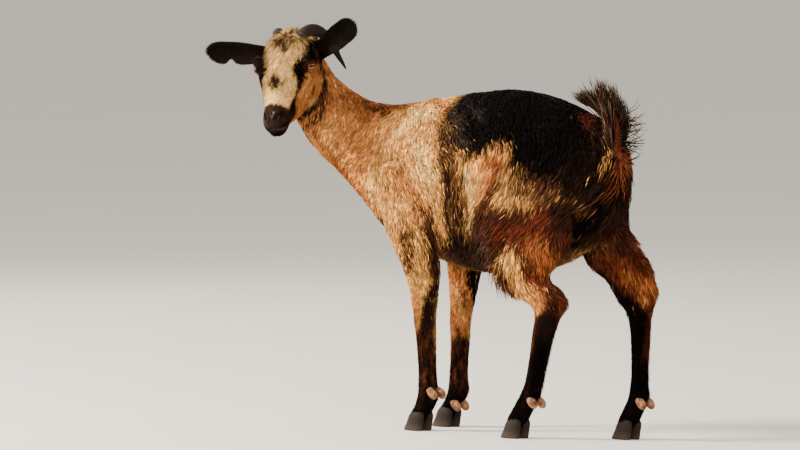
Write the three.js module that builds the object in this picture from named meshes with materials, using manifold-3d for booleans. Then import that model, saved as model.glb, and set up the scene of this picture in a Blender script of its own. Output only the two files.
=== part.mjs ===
// A standing goat at life size, a still display model. Millimetres, +Z up. The goat faces -X and its left is -Y.
// While it is built, X = 0 and Y = 0 lie under the withers. The finished group stands on the middle of its box.
import * as THREE from 'three';
import { mergeVertices } from 'three/addons/utils/BufferGeometryUtils.js';
import Module from 'manifold-3d';

const wasm = await Module();
wasm.setup();

const DEG = Math.PI / 180;
const GAP = 0.35; // left between neighbouring pieces
const SIDES = { left: -1, right: 1 }; // the sign of Y

// ---------------------------------------------------------------- trunk and neck
// A station is [x, y, z, heading, pitch, up, down, side, crown, keel]: its centre, the way the body runs there
// in degrees, the three half sizes of its section, and how far the top and the bottom are pinched in.
const TRUNK = [
  [500, 0, 490, 180, 0, 22, 36, 13, 0, 0],
  [484, 0, 489, 180, 0, 56, 72, 41, 0, 0],
  [450, 0, 484, 180, 0, 90, 100, 65, 0.1, 0],
  [410, 0, 478, 180, 0, 114, 128, 86, 0.15, 0.1],
  [350, 0, 468, 180, 0, 143, 145, 102, 0.2, 0.1],
  [280, 0, 458, 180, 0, 167, 152, 116, 0.25, 0.1],
  [205, 0, 452, 180, 0, 177, 155, 123, 0.3, 0.1],
  [130, 0, 450, 180, 0, 173, 156, 120, 0.35, 0.15],
  [60, 0, 450, 180, 0, 165, 152, 106, 0.4, 0.2],
  [5, 0, 452, 180, 2, 156, 146, 94, 0.45, 0.25],
  [-48, 0, 464, 182, 16, 148, 140, 84, 0.45, 0.3],
  [-92, -2, 488, 186, 32, 136, 128, 74, 0.4, 0.25],
  [-130, -8, 516, 194, 42, 106, 118, 64, 0.3, 0.25],
  [-166, -26, 532, 206, 46, 80, 96, 55, 0.2, 0.2],
  [-198, -50, 552, 224, 50, 62, 80, 48, 0.1, 0.15],
  [-222, -76, 578, 248, 55, 57, 66, 43, 0.1, 0.1],
  [-238, -102, 610, 274, 62, 58, 56, 41, 0.1, 0.1],
  [-245, -118, 648, 288, 64, 53, 46, 38, 0.1, 0.1],
  [-247, -126, 680, 292, 62, 30, 30, 30, 0, 0],
];
const TRUNK_SIDES = 28;
const NECK_CUT = { normal: [-0.78, -0.12, 0.61], offset: 420 };

// ---------------------------------------------------------------- legs
// Half sizes of a leg's level slices from the body down: forward, back, across.
const FORE_GIRTH = [
  [38, 40, 26], [44, 50, 30], [42, 48, 32], [38, 46, 31], [31, 38, 28], [24, 29, 23.5], [22, 24, 22],
  [22, 21, 21], [19.5, 19.5, 19.5], [18.5, 18.5, 18], [18.5, 19.5, 19], [19.5, 23, 21], [19, 21, 20.5],
  [20, 19, 20.5], [18, 18, 19],
];
const LEG_GIRTH = {
  hind_left: [
    [36, 36, 13], [78, 60, 29], [94, 66, 38], [100, 68, 40], [100, 68, 37], [95, 60, 33], [84, 50, 29],
    [70, 52, 26], [72, 50, 23], [55, 44, 20.5], [36, 32, 18.5], [24, 26, 17], [19, 21, 16], [19, 21, 16],
    [22, 25, 19.5], [21, 22, 20.5], [21, 21, 20.5], [17, 17, 18.5],
  ],
  hind_right: [
    [36, 36, 13], [76, 60, 29], [90, 66, 37], [90, 64, 38], [84, 62, 34], [75, 73, 30], [80, 76, 27],
    [65, 62, 25], [50, 50, 23], [41, 40, 20.5], [29, 30, 19], [20, 22, 17], [17, 18.5, 16], [17, 18.5, 16],
    [21, 24, 19], [21, 22, 20.5], [21, 21, 20.5], [17, 17, 18.5],
  ],
  fore_left: FORE_GIRTH,
  fore_right: FORE_GIRTH,
};
// The middle of each slice: x, distance from the midline, z.
const LEG_PATH = {
  hind_left: [
    [376, 45, 560], [377, 53, 520], [378, 57, 470], [375, 58, 420], [366, 59, 375], [352, 63, 338],
    [333, 66, 308], [336, 68, 286], [360, 68, 268], [384, 68, 250], [385, 68, 230], [367, 68, 188],
    [352, 67, 140], [339, 66, 100], [326, 66, 72], [310, 66, 52], [297, 66, 34], [292, 66, 24],
  ],
  hind_right: [
    [380, 45, 560], [380, 53, 520], [380, 57, 470], [382, 58, 422], [387, 59, 380], [400, 63, 345],
    [425, 66, 316], [449, 68, 293], [464, 68, 274], [472, 68, 254], [476, 68, 232], [478, 68, 190],
    [478, 67, 145], [478, 66, 106], [476, 66, 76], [463, 66, 54], [451, 66, 35], [446, 66, 24],
  ],
  fore_left: [
    [-34, 66, 480], [-30, 70, 440], [-16, 74, 390], [8, 75, 345], [26, 71, 300], [33, 67, 250],
    [34, 65, 215], [35, 64, 192], [37, 63, 160], [38, 62, 120], [38, 61, 90], [38, 60, 68], [28, 59, 48],
    [16, 58, 32], [12, 58, 22],
  ],
  fore_right: [
    [-34, 66, 480], [-34, 70, 440], [-32, 74, 390], [-24, 74, 345], [-16, 70, 300], [-13, 65, 250],
    [-13, 62, 215], [-13, 60, 192], [-13, 59, 160], [-14, 58, 120], [-15, 57, 90], [-15, 56, 68],
    [-25, 55, 48], [-37, 54, 32], [-41, 54, 22],
  ],
};
const LEG_SIDES = 16;
// Outlines from the side of what goes with a leg, as x and z, down to below the floor.
const HIND_OUTLINE = [
  [240, 320], [254, 400], [280, 470], [318, 522], [365, 548], [415, 548], [460, 528], [600, 500], [600, -20], [200, -20],
];
const FORE_OUTLINE = [
  [-84, 340], [-84, 420], [-64, 476], [-16, 500], [34, 478], [62, 420], [70, 340], [78, 290], [120, -20], [-150, -20],
];
const LEG_REGION = {
  hind: { outline: HIND_OUTLINE, inner: 14, outer: 220 },
  fore: { outline: FORE_OUTLINE, inner: 30, outer: 220 },
};
const LEG_CUT = { hind_left: 222, hind_right: 228, fore_left: 192, fore_right: 192 }; // under hock and knee

// ---------------------------------------------------------------- feet
const HOOF = { top: 48, coronet: 31, slope: 0.35, toe: 33, heel: 19, side: 9.4, apart: 10.4, splay: 3 };
const DEWCLAW = { apart: 10, radius: 7.4, length: 19, sunk: 8 };
const DEWCLAW_HEIGHT = { hind_left: 68, hind_right: 68, fore_left: 71, fore_right: 42 };

// ---------------------------------------------------------------- head
// In the head's own frame X runs forward to the nose, Y to its left and Z up, from the poll.
const HEAD = { at: [-236.2, -150.3, 722.5], heading: 297.5, pitch: -45.8, roll: -2.6 };
const SKULL = [
  [-10, 0, -32, 0, 0, 14, 20, 22, 0, 0],
  [2, 0, -29, 0, 0, 29, 42, 42, 0.1, 0],
  [25, 0, -24, 0, 0, 36, 70, 52, 0.1, 0],
  [50, 0, -22, 0, 0, 35, 86, 56, 0.1, -0.05],
  [72, 0, -20, 0, 0, 30, 90, 57, 0.1, 0],
  [90, 0, -23, 0, 0, 28, 86, 52, 0.15, -0.05],
  [108, 0, -29, 0, 0, 29, 75, 45, 0.25, -0.1],
  [132, 0, -38, 0, 0, 33, 56, 36, 0.3, -0.1],
  [158, 0, -45, 0, 0, 31, 37, 27, 0.2, 0],
  [176, 0, -48, 0, 0, 28, 30, 25, 0.1, 0],
  [190, 0, -49, 0, 0, 21, 25, 21, 0.05, 0],
  [199, 0, -50, 0, 0, 11, 13, 12, 0, 0],
];
const SKULL_SIDES = 24;
const EYE = { at: [74.5, 45.5, -12.5], radius: 13.5, lid: 2.2, long: 10, tall: 5 };
const EYE_LIE = { look: [0.42, 0.88, 0.2], fissure: [0.8, -0.3, 0.5] }; // of the left eye
const MOUTH = { corner: [158, -57], front: [212, -69], chin: [134, -108] };
const NOSTRIL = { at: [183, 11.5, -26], size: [9, 4.4, 4.5], turn: 35 };
// A horn's path: forward, out, up and the radius there.
const HORN_PATH = [
  [24, 22, -16, 12.5], [14, 27, 3, 12], [-4, 37, -5, 11.2], [-13, 47, -27, 9.4],
  [-9, 57, -54, 7], [0, 65, -72, 4.8], [6, 71, -84, 3.2], [12, 76, -94, 1.2],
];
const HORN = { rib: 0.7, sides: 8, steps: 3, shift: { left: [0, 0, 0], right: [-2, 0, -12] } };
const EAR = { at: [33, 44, -30], length: 121, half: 21.5, cup: 13, wall: 2.6 };
const EAR_LIE = {
  left: { along: [-0.08, 0.81, 0.58], face: [0.6, 0.2, 0.6] },
  right: { along: [0.1, -0.975, 0.19], face: [0.75, 0.1, 0.45] },
};
const EAR_NOTCH = { hand: 'right', at: 0.53, half: 0.05, depth: 0.45 }; // in its lower edge

// ---------------------------------------------------------------- tail
// The dock inside the hair, held up. Its top faces forward.
const TAIL = [
  [474, 0, 498, 0, 65, 15, 15, 17, 0, 0],
  [488, 0, 530, 0, 80, 17, 13, 18, 0, 0],
  [491, 0, 560, 0, 96, 21, 11, 16, 0.2, 0],
  [481, 0, 586, 0, 114, 23, 12, 13, 0.3, 0],
  [461, 0, 604, 0, 136, 15, 12, 9, 0.3, 0],
  [440, 0, 614, 0, 155, 5, 6, 4, 0, 0],
];
const TAIL_SIDES = 10;

// ---------------------------------------------------------------- coat
// How far the core lies inside the tips of the shaggy coat, in the terms of the stations and of the girths.
const SHAG = { trunk: [5, 10, 4], hind: [5, 8, 3] };
const LOCK = { thick: 3.2, sink: 7, uneven: 0.22, stray: 12 };
// A lock's rings, as shares of its length, width and thickness.
const SHORT_LOCK = [[0, 0.75, 1.2], [0.58, 1, 0.9]];
const LONG_LOCK = [[0, 0.75, 1.2], [0.4, 1, 1], [0.75, 0.75, 0.6]];
// Bands of locks. They grow between two stations of what they are on, in rows at `angles` round its section
// (0 its left, 90 its top, 270 its underside), `lie` is the way the hair runs and `lift` how far it stands off
// the body, in degrees. A band with `both` is also on the other flank.
const BANDS = [
  { on: 'trunk', from: 3.3, to: 8.6, count: 6, angles: [312, 334], both: true, lie: [0.6, 0, -1], size: [50, 32], lift: 15 },
  { on: 'trunk', from: 3.6, to: 8.4, count: 7, angles: [270], lie: [1, 0, -0.2], size: [42, 32], lift: 32 },
  { on: 'trunk', from: 4.3, to: 9.6, count: 7, angles: [90], lie: [1, 0, 0], size: [56, 30], lift: 9 },
  { on: 'trunk', from: 10.2, to: 11.8, count: 2, angles: [255, 285], lie: [0.3, 0, -1], size: [40, 26], lift: 15 },
  { on: 'hind_left', from: 3.4, to: 7.4, count: 4, angles: [248, 288], lie: [0.2, 0, -1], size: [48, 27], lift: 14 },
  { on: 'hind_right', from: 3.4, to: 6.8, count: 4, angles: [252, 292], lie: [0.35, 0, -1], size: [48, 27], lift: 14 },
  { on: 'hind_left', from: 4.6, to: 6.4, count: 2, angles: [62, 98], lie: [0, 0, -1], size: [46, 26], lift: 13 },
  { on: 'hind_right', from: 4.6, to: 6.4, count: 2, angles: [82, 118], lie: [0.4, 0, -1], size: [46, 26], lift: 13 },
  { on: 'hind_left', from: 11, to: 12.8, count: 2, angles: [270], lie: [0, 0, -1], size: [42, 17], lift: 10 },
  { on: 'hind_right', from: 11, to: 12.8, count: 2, angles: [270], lie: [0, 0, -1], size: [42, 17], lift: 10 },
  { on: 'fore_left', from: 2.4, to: 4.2, count: 2, angles: [270], lie: [0.3, 0, -1], size: [42, 20], lift: 13 },
  { on: 'fore_right', from: 2.4, to: 4.2, count: 2, angles: [270], lie: [0.3, 0, -1], size: [42, 20], lift: 13 },
];
const TAIL_BANDS = [
  { from: 2.2, to: 4.8, count: 3, angles: [60, 100], lie: [-1, 0, 0.35], size: [60, 27], lift: 20 },
  { from: 3.5, to: 4.9, count: 2, angles: [15, 165], lie: [-0.6, 0, 0.5], size: [44, 18], lift: 9 },
  { from: 2.7, to: 4.5, count: 2, angles: [252, 288], lie: [-0.05, 0, 1], size: [42, 21], lift: 20 },
  { from: 0.7, to: 3, count: 5, angles: [335], lie: [0.5, 0.6, 0.5], size: [52, 17], lift: 42 },
  { from: 0.9, to: 3, count: 4, angles: [205], lie: [0.3, -0.6, 0.8], size: [46, 17], lift: 30 },
];
const POLL_BAND = { from: 1.2, to: 2.6, count: 2, angles: [76, 104], lie: [1, 0, -0.1], size: [36, 15], lift: 12 };
const POLL_SINK = 5;

// ================================================================ making shapes

function solidOf(geometry) {
  const bare = merged(geometry);
  return new wasm.Manifold(new wasm.Mesh({
    numProp: 3,
    vertProperties: new Float32Array(bare.attributes.position.array),
    triVerts: new Uint32Array(bare.index.array),
  }));
}

// The geometry with positions alone, shared where faces meet.
function merged(geometry) {
  if (!geometry.attributes.normal) return geometry;
  const bare = geometry.clone();
  bare.deleteAttribute('normal');
  bare.deleteAttribute('uv');
  return mergeVertices(bare, 1e-4);
}

function geometryOf(solid) {
  const { vertProperties, triVerts } = solid.getMesh();
  const geometry = new THREE.BufferGeometry();
  geometry.setAttribute('position', new THREE.BufferAttribute(new Float32Array(vertProperties), 3));
  geometry.setIndex(new THREE.BufferAttribute(new Uint32Array(triVerts), 1));
  return geometry;
}

// The same closed mesh with every face moved out by a distance.
function grown(geometry, distance) {
  const bare = merged(geometry);
  const position = bare.attributes.position;
  const corner = (i) => new THREE.Vector3().fromBufferAttribute(position, i);
  const sums = Array.from({ length: position.count }, () => ({ n: new THREE.Vector3(), m: new Array(9).fill(0) }));
  for (let t = 0; t < bare.index.count; t += 3) {
    const ids = [0, 1, 2].map((k) => bare.index.getX(t + k));
    const [a, b, c] = ids.map(corner);
    const n = b.sub(a).cross(c.sub(a)).normalize();
    const parts = n.toArray();
    for (const id of ids) {
      sums[id].n.add(n);
      for (let k = 0; k < 9; k += 1) sums[id].m[k] += parts[Math.floor(k / 3)] * parts[k % 3];
    }
  }
  const moved = new Float32Array(position.count * 3);
  sums.forEach(({ n, m }, i) => {
    const soft = m.map((value, k) => value + (k % 4 === 0 ? 0.02 : 0));
    const step = n.multiplyScalar(distance).applyMatrix3(new THREE.Matrix3().fromArray(soft).invert());
    corner(i).add(step).toArray(moved, i * 3);
  });
  const out = new THREE.BufferGeometry();
  out.setAttribute('position', new THREE.BufferAttribute(moved, 3));
  out.setIndex(bare.index);
  return out;
}

// Catmull-Rom through the rows, with `steps` pieces between each two.
function smoothRows(rows, steps) {
  const at = (i) => rows[THREE.MathUtils.clamp(i, 0, rows.length - 1)];
  const blend = (p, q, r, s, t) =>
    q + 0.5 * t * (r - p + t * (2 * p - 5 * q + 4 * r - s + t * (3 * (q - r) + s - p)));
  const out = [];
  for (let i = 0; i < rows.length - 1; i += 1) {
    for (let k = 0; k < steps; k += 1) {
      out.push(at(i).map((_, c) => blend(at(i - 1)[c], at(i)[c], at(i + 1)[c], at(i + 2)[c], k / steps)));
    }
  }
  out.push(rows[rows.length - 1]);
  return out;
}

// The axes of a station's section.
function axes(heading, pitch) {
  const [h, p] = [heading * DEG, pitch * DEG];
  return {
    ahead: new THREE.Vector3(Math.cos(p) * Math.cos(h), Math.cos(p) * Math.sin(h), Math.sin(p)),
    left: new THREE.Vector3(-Math.sin(h), Math.cos(h), 0),
    up: new THREE.Vector3(-Math.sin(p) * Math.cos(h), -Math.sin(p) * Math.sin(h), Math.cos(p)),
  };
}

function sectionPoint(row, angle) {
  const [x, y, z, heading, pitch, up, down, side, crown, keel] = row;
  const { left, up: high } = axes(heading, pitch);
  const rise = Math.sin(angle);
  const pinch = 1 - (rise > 0 ? crown : keel) * rise * rise;
  return new THREE.Vector3(x, y, z)
    .addScaledVector(left, side * pinch * Math.cos(angle))
    .addScaledVector(high, (rise > 0 ? up : down) * rise);
}

const middleOf = (ring) => ring.reduce((sum, p) => sum.add(p), new THREE.Vector3()).divideScalar(ring.length);

// A closed skin over rings of points, each ring with as many points, flat at the start and closed at `tip`.
function skinOver(rings, tip = middleOf(rings[rings.length - 1])) {
  const sides = rings[0].length;
  const points = [...rings.flat(), middleOf(rings[0]), tip];
  const faces = [];
  for (let k = 0; k < rings.length - 1; k += 1) {
    for (let i = 0; i < sides; i += 1) {
      const [a, b] = [k * sides + i, k * sides + ((i + 1) % sides)];
      faces.push(a, b, b + sides, a, b + sides, a + sides);
    }
  }
  const last = (rings.length - 1) * sides;
  for (let i = 0; i < sides; i += 1) {
    const next = (i + 1) % sides;
    faces.push(points.length - 2, next, i, points.length - 1, last + i, last + next);
  }
  const geometry = new THREE.BufferGeometry();
  geometry.setAttribute('position', new THREE.Float32BufferAttribute(points.flatMap((p) => p.toArray()), 3));
  geometry.setIndex(faces);
  return geometry;
}

function loft(rows, sides, steps = 1) {
  const rings = smoothRows(rows, steps).map((row) =>
    Array.from({ length: sides }, (_, i) => sectionPoint(row, (2 * Math.PI * i) / sides)));
  return skinOver(rings);
}

// The body's core: the trunk's stations drawn in by the depth of the coat where it is shaggy.
function trunkRows() {
  const { smoothstep } = THREE.MathUtils;
  return TRUNK.map((row, i) => {
    const shaggy = smoothstep(i, 1, 3) * (1 - smoothstep(i, 9, 12));
    return row.map((value, c) => (c > 4 && c < 8 ? value - shaggy * SHAG.trunk[c - 5] : value));
  });
}

function legRows(name) {
  const hind = name.startsWith('hind');
  const sign = SIDES[name.split('_')[1]];
  return LEG_PATH[name].map(([x, y, z], i) => {
    const shaggy = hind && i < 8 ? 1 : 0;
    const girth = LEG_GIRTH[name][i].map((value, c) => value - shaggy * SHAG.hind[c]);
    return [x, sign * y, z, 180, -90, ...girth, 0, 0];
  });
}

// The outline from the side, drawn out across half of the body.
function regionOf(name) {
  const [pair, hand] = name.split('_');
  const { outline, inner, outer } = LEG_REGION[pair];
  const shape = new THREE.Shape(outline.map(([x, z]) => new THREE.Vector2(x, z)));
  const region = new THREE.ExtrudeGeometry(shape, { depth: outer - inner, bevelEnabled: false });
  region.rotateX(Math.PI / 2);
  region.translate(0, SIDES[hand] > 0 ? outer : -inner, 0);
  return region;
}

const headFrame = (() => {
  const { ahead, left, up } = axes(HEAD.heading, HEAD.pitch);
  const frame = new THREE.Matrix4().makeBasis(ahead, left, up).setPosition(...HEAD.at);
  return frame.multiply(new THREE.Matrix4().makeRotationX(-HEAD.roll * DEG));
})();

function ball(centre, size, turn = 0) {
  const geometry = new THREE.SphereGeometry(1, 12, 8);
  geometry.rotateX(Math.PI / 2);
  geometry.scale(...size);
  geometry.rotateZ(turn * DEG);
  geometry.translate(...centre);
  return geometry;
}

// ================================================================ locks of hair

// The same draws each time, from 0 to 1.
function drawsFrom(seed) {
  let state = seed;
  return () => {
    state = (state + 0x6d2b79f5) | 0;
    let mixed = Math.imul(state ^ (state >>> 15), 1 | state);
    mixed = (mixed + Math.imul(mixed ^ (mixed >>> 7), 61 | mixed)) ^ mixed;
    return ((mixed ^ (mixed >>> 14)) >>> 0) / 4294967296;
  };
}

// A spot on a body drawn through stations, and the way out of the body there.
function spotOn(rows, station, degrees) {
  const at = (s, angle) => {
    const i = THREE.MathUtils.clamp(Math.floor(s), 0, rows.length - 2);
    return sectionPoint(rows[i].map((value, c) => THREE.MathUtils.lerp(value, rows[i + 1][c], s - i)), angle);
  };
  const angle = degrees * DEG;
  const along = at(station + 0.1, angle).sub(at(station - 0.1, angle));
  const round = at(station, angle + 0.1).sub(at(station, angle - 0.1));
  const root = at(station, angle);
  const out = along.cross(round).normalize();
  const inside = at(station, angle + Math.PI).sub(root);
  return { root, out: out.dot(inside) > 0 ? out.negate() : out };
}

// A flat lock, ridged along its outside, that tapers and bends over from its root to its tip.
function lockGeometry({ root, out }, lie, [length, width], lift, sink, shape) {
  const ahead = lie.clone().addScaledVector(out, -lie.dot(out)).normalize();
  const rise = Math.sin(lift * DEG) * length;
  const start = root.clone().addScaledVector(out, -sink).addScaledVector(ahead, -length * 0.1);
  const bend = root.clone().addScaledVector(out, rise * 1.2).addScaledVector(ahead, length * 0.3);
  const tip = root.clone().addScaledVector(out, rise).addScaledVector(ahead, Math.cos(lift * DEG) * length);
  const curve = new THREE.QuadraticBezierCurve3(start, bend, tip);
  const across = new THREE.Vector3().crossVectors(out, ahead);
  const rings = shape.map(([t, wide, thick]) => {
    const flat = new THREE.Vector3().crossVectors(curve.getTangent(t), across).setLength(LOCK.thick * thick);
    const side = across.clone().setLength(width * wide * 0.5);
    const middle = curve.getPoint(t);
    return [side, flat, side.clone().negate()].map((step) => middle.clone().add(step));
  });
  return skinOver(rings, tip);
}

// The locks of a band on a body, each a little different.
function bandLocks(rows, band, draw, shape = SHORT_LOCK, sink = LOCK.sink) {
  const { from, to, count, angles, both, lie, size, lift } = band;
  const around = both ? [...angles, ...angles.map((angle) => 180 - angle)] : angles;
  return around.flatMap((angle, row) => Array.from({ length: count }, (_, k) => {
    const uneven = () => 1 + LOCK.uneven * (2 * draw() - 1);
    const station = from + ((to - from) * (k + (row % 2 ? 0.55 : 0.15) + 0.3 * draw())) / count;
    const spot = spotOn(rows, station, angle + LOCK.stray * (draw() - 0.5));
    const strayed = new THREE.Vector3(...lie).normalize();
    strayed.add(new THREE.Vector3(draw() - 0.5, draw() - 0.5, draw() - 0.5).multiplyScalar(0.35));
    return lockGeometry(spot, strayed, size.map((value) => value * uneven()), lift * uneven(), sink, shape);
  }));
}

const joined = (solids) => wasm.Manifold.union(solids);

// The largest closed surface alone, once points that all but touch are one.
function largest(solid) {
  const parts = solidOf(mergeVertices(geometryOf(solid), 1e-3)).decompose();
  return parts.reduce((best, part) => (part.volume() > best.volume() ? part : best));
}

// ================================================================ parts of the head

const skullCore = () => loft(SKULL, SKULL_SIDES, 2);

// The eye's place in the head, on the side of the sign of Y in the body's frame.
const eyePlace = (sign) => [EYE.at[0], -sign * EYE.at[1], EYE.at[2]];

// A lens-shaped cutter through the lids, out along the way the eye looks.
function lidOpening(sign) {
  const shape = new THREE.Shape();
  shape.absellipse(0, 0, EYE.long, EYE.tall, 0, 2 * Math.PI, false, 0);
  const cutter = new THREE.ExtrudeGeometry(shape, { depth: 30, bevelEnabled: false, curveSegments: 10 });
  const mirrored = ([x, y, z]) => new THREE.Vector3(x, -sign * y, z);
  const look = mirrored(EYE_LIE.look).normalize();
  const fissure = mirrored(EYE_LIE.fissure);
  fissure.addScaledVector(look, -fissure.dot(look)).normalize();
  const across = new THREE.Vector3().crossVectors(look, fissure);
  return cutter.applyMatrix4(new THREE.Matrix4().makeBasis(fissure, across, look).setPosition(...eyePlace(sign)));
}

// What lies under the line of the mouth, from its corner to the chin.
function jawRegion() {
  const { corner, front, chin } = MOUTH;
  const outline = [corner, front, [front[0], chin[1] - 20], [chin[0], chin[1] - 20], chin];
  const shape = new THREE.Shape(outline.map(([x, z]) => new THREE.Vector2(x, z)));
  const region = new THREE.ExtrudeGeometry(shape, { depth: 120, bevelEnabled: false });
  region.rotateX(Math.PI / 2);
  region.translate(0, 60, 0);
  return region;
}

function headSolids() {
  const horns = Object.keys(SIDES).map((hand) => solidOf(grown(hornGeometry(hand), GAP)));
  const poll = joined(bandLocks(SKULL, POLL_BAND, drawsFrom(29), SHORT_LOCK, POLL_SINK).map(solidOf));
  let head = solidOf(skullCore()).add(poll.subtract(joined(horns)));
  for (const sign of Object.values(SIDES)) {
    const lids = ball(eyePlace(sign), new Array(3).fill(EYE.radius + EYE.lid));
    const socket = ball(eyePlace(sign), new Array(3).fill(EYE.radius + GAP));
    head = head.add(solidOf(lids)).subtract(solidOf(socket)).subtract(solidOf(lidOpening(sign)));
    const [x, y, z] = NOSTRIL.at;
    head = head.subtract(solidOf(ball([x, -sign * y, z], NOSTRIL.size, sign * NOSTRIL.turn)));
  }
  const jaw = jawRegion();
  const lowerJaw = head.intersect(solidOf(grown(jaw, -GAP)));
  return { head: largest(head.subtract(solidOf(jaw))), lower_jaw: largest(lowerJaw) };
}

function hornGeometry(hand) {
  const sign = SIDES[hand];
  const rows = smoothRows(HORN_PATH, HORN.steps);
  const shift = new THREE.Vector3(...HORN.shift[hand]);
  const centres = rows.map(([f, out, up]) => new THREE.Vector3(f, -sign * out, up).add(shift));
  const rings = centres.map((centre, k) => {
    const way = centres[Math.min(k + 1, rows.length - 1)].clone().sub(centres[Math.max(k - 1, 0)]).normalize();
    const side = new THREE.Vector3(0, 1, 0).addScaledVector(way, -way.y).normalize();
    const top = new THREE.Vector3().crossVectors(way, side);
    const radius = rows[k][3] + (k % 2 === 1 && k < rows.length * 0.75 ? HORN.rib : 0);
    return Array.from({ length: HORN.sides }, (_, i) => {
      const angle = (2 * Math.PI * i) / HORN.sides;
      return centre.clone()
        .addScaledVector(side, radius * Math.cos(angle))
        .addScaledVector(top, radius * Math.sin(angle));
    });
  });
  return skinOver(rings);
}

// The share of an ear's full width at a share of its length.
function earWidth(t) {
  const root = 0.7 + 0.3 * THREE.MathUtils.smoothstep(t, 0, 0.55);
  const end = THREE.MathUtils.clamp((t - 0.72) / 0.28, 0, 1);
  return Math.max(0.12, root * Math.sqrt(Math.max(0, 1 - end ** 2.2)));
}

// A leaf with a cup, its wall folded round at the base and opening out to a rounded tip.
function earGeometry(hand) {
  const sign = SIDES[hand];
  const { along, face } = EAR_LIE[hand];
  const axis = new THREE.Vector3(...along).normalize();
  const front = new THREE.Vector3(...face);
  front.addScaledVector(axis, -front.dot(axis)).normalize();
  const wide = new THREE.Vector3().crossVectors(front, axis);
  const root = new THREE.Vector3(EAR.at[0], -sign * EAR.at[1], EAR.at[2]);
  const across = 6;
  const rings = [-0.1, 0.05, 0.2, 0.35, 0.48, 0.53, 0.58, 0.68, 0.78, 0.87, 0.94, 0.98, 1].map((t) => {
    const notch = hand === EAR_NOTCH.hand && Math.abs(t - EAR_NOTCH.at) < EAR_NOTCH.half * 0.9 ? EAR_NOTCH.depth : 0;
    const half = EAR.half * earWidth(t);
    const cup = EAR.cup * (1 - 0.8 * Math.max(t, 0)) * Math.min(1, half / EAR.half + 0.2);
    const centre = root.clone().addScaledVector(axis, EAR.length * t);
    const place = (u, lift) => centre.clone()
      .addScaledVector(wide, half * u)
      .addScaledVector(front, cup * u * u - cup + lift * (1 - 0.7 * u * u));
    const us = Array.from({ length: across + 1 }, (_, j) => -1 + (2 * j) / across)
      .map((u) => (u > 0 ? u * (1 - notch) : u));
    return [...us.map((u) => place(u, -EAR.wall / 2)), ...us.slice().reverse().map((u) => place(u, EAR.wall / 2))];
  });
  return skinOver(rings);
}

// ================================================================ feet

function clawGeometry(x, y, hand) {
  const { top, toe, heel, side } = HOOF;
  const rows = [
    [x + 2, y, top, 180, -90, toe * 0.42, heel * 0.7, side * 0.8, 0.2, 0],
    [x, y, 30, 180, -90, toe * 0.62, heel * 0.95, side, 0.25, 0.1],
    [x - 3, y, 14, 180, -90, toe * 0.82, heel, side, 0.35, 0.1],
    [x - 5, y, 3, 180, -90, toe, heel, side, 0.4, 0.1],
    [x - 5, y, 0, 180, -90, toe - 1.5, heel - 1.5, side - 1, 0.4, 0.1],
  ];
  const claw = loft(rows, 12);
  claw.translate(-x, -y, 0);
  claw.rotateZ(hand * HOOF.splay * DEG);
  claw.translate(x, y, 0);
  return claw;
}

function dewclawGeometry(x, y, height) {
  const { radius, length, sunk } = DEWCLAW;
  const rows = [
    [x - sunk, y, height + 6, 0, -40, radius * 0.8, radius * 0.8, radius * 0.8, 0, 0],
    [x - 1, y, height + 1, 0, -40, radius * 1.1, radius * 1.1, radius, 0, 0],
    [x + length * 0.2, y, height - 3, 0, -40, radius * 1.1, radius * 1.05, radius, 0, 0],
    [x + length * 0.42, y, height - 7, 0, -40, radius * 0.85, radius * 0.8, radius * 0.8, 0, 0],
    [x + length * 0.54, y, height - 9, 0, -40, radius * 0.4, radius * 0.4, radius * 0.4, 0, 0],
  ];
  return loft(rows, 6);
}

// Where the back of a leg is at a height, and how far from the midline its middle is.
function backOf(name, height) {
  const rows = legRows(name);
  const i = rows.findIndex((row) => row[2] < height);
  const t = (height - rows[i][2]) / (rows[i - 1][2] - rows[i][2]);
  const row = rows[i].map((value, c) => THREE.MathUtils.lerp(value, rows[i - 1][c], t));
  return { back: row[0] + row[6], out: Math.abs(row[1]) };
}

// ================================================================ the goat

const COLOURS = {
  fleece: [0xa0703c, 0.9], dark: [0x2b211b, 0.9], cream: [0xc9b48c, 0.9],
  horn: [0x4a4038, 0.6], hoof: [0x2a2623, 0.5], eye: [0x6b4a1c, 0.15],
};
const goat = new THREE.Group();

function place(name, solid, look) {
  const [color, roughness] = COLOURS[look];
  const mesh = new THREE.Mesh(geometryOf(solid), new THREE.MeshStandardMaterial({ color, roughness, metalness: 0 }));
  mesh.name = name;
  goat.add(mesh);
}

const trunk = loft(trunkRows(), TRUNK_SIDES, 2);
const legNames = Object.keys(LEG_PATH);
const legs = Object.fromEntries(legNames.map((name) => [name, loft(legRows(name), LEG_SIDES)]));
const draw = drawsFrom(7);
const locks = BANDS.flatMap((band) => bandLocks(band.on === 'trunk' ? trunkRows() : legRows(band.on), band, draw));
const core = joined([trunk, ...Object.values(legs)].map(solidOf));
const body = joined([core, ...locks.map(solidOf)]);

const skull = headSolids();
const toBody = (geometry) => geometry.clone().applyMatrix4(headFrame);
const headAround = solidOf(toBody(grown(skullCore(), GAP)));

// Torso and neck.
const { normal: neckNormal, offset: neckOffset } = NECK_CUT;
const behind = neckNormal.map((value) => -value);
const torsoAndLegs = body.trimByPlane(behind, -neckOffset + GAP);
const regions = legNames.map((name) => solidOf(regionOf(name)));
place('torso', largest(torsoAndLegs.subtract(joined(regions))), 'fleece');
place('neck', largest(solidOf(trunk).trimByPlane(neckNormal, neckOffset).subtract(headAround)), 'fleece');

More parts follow.
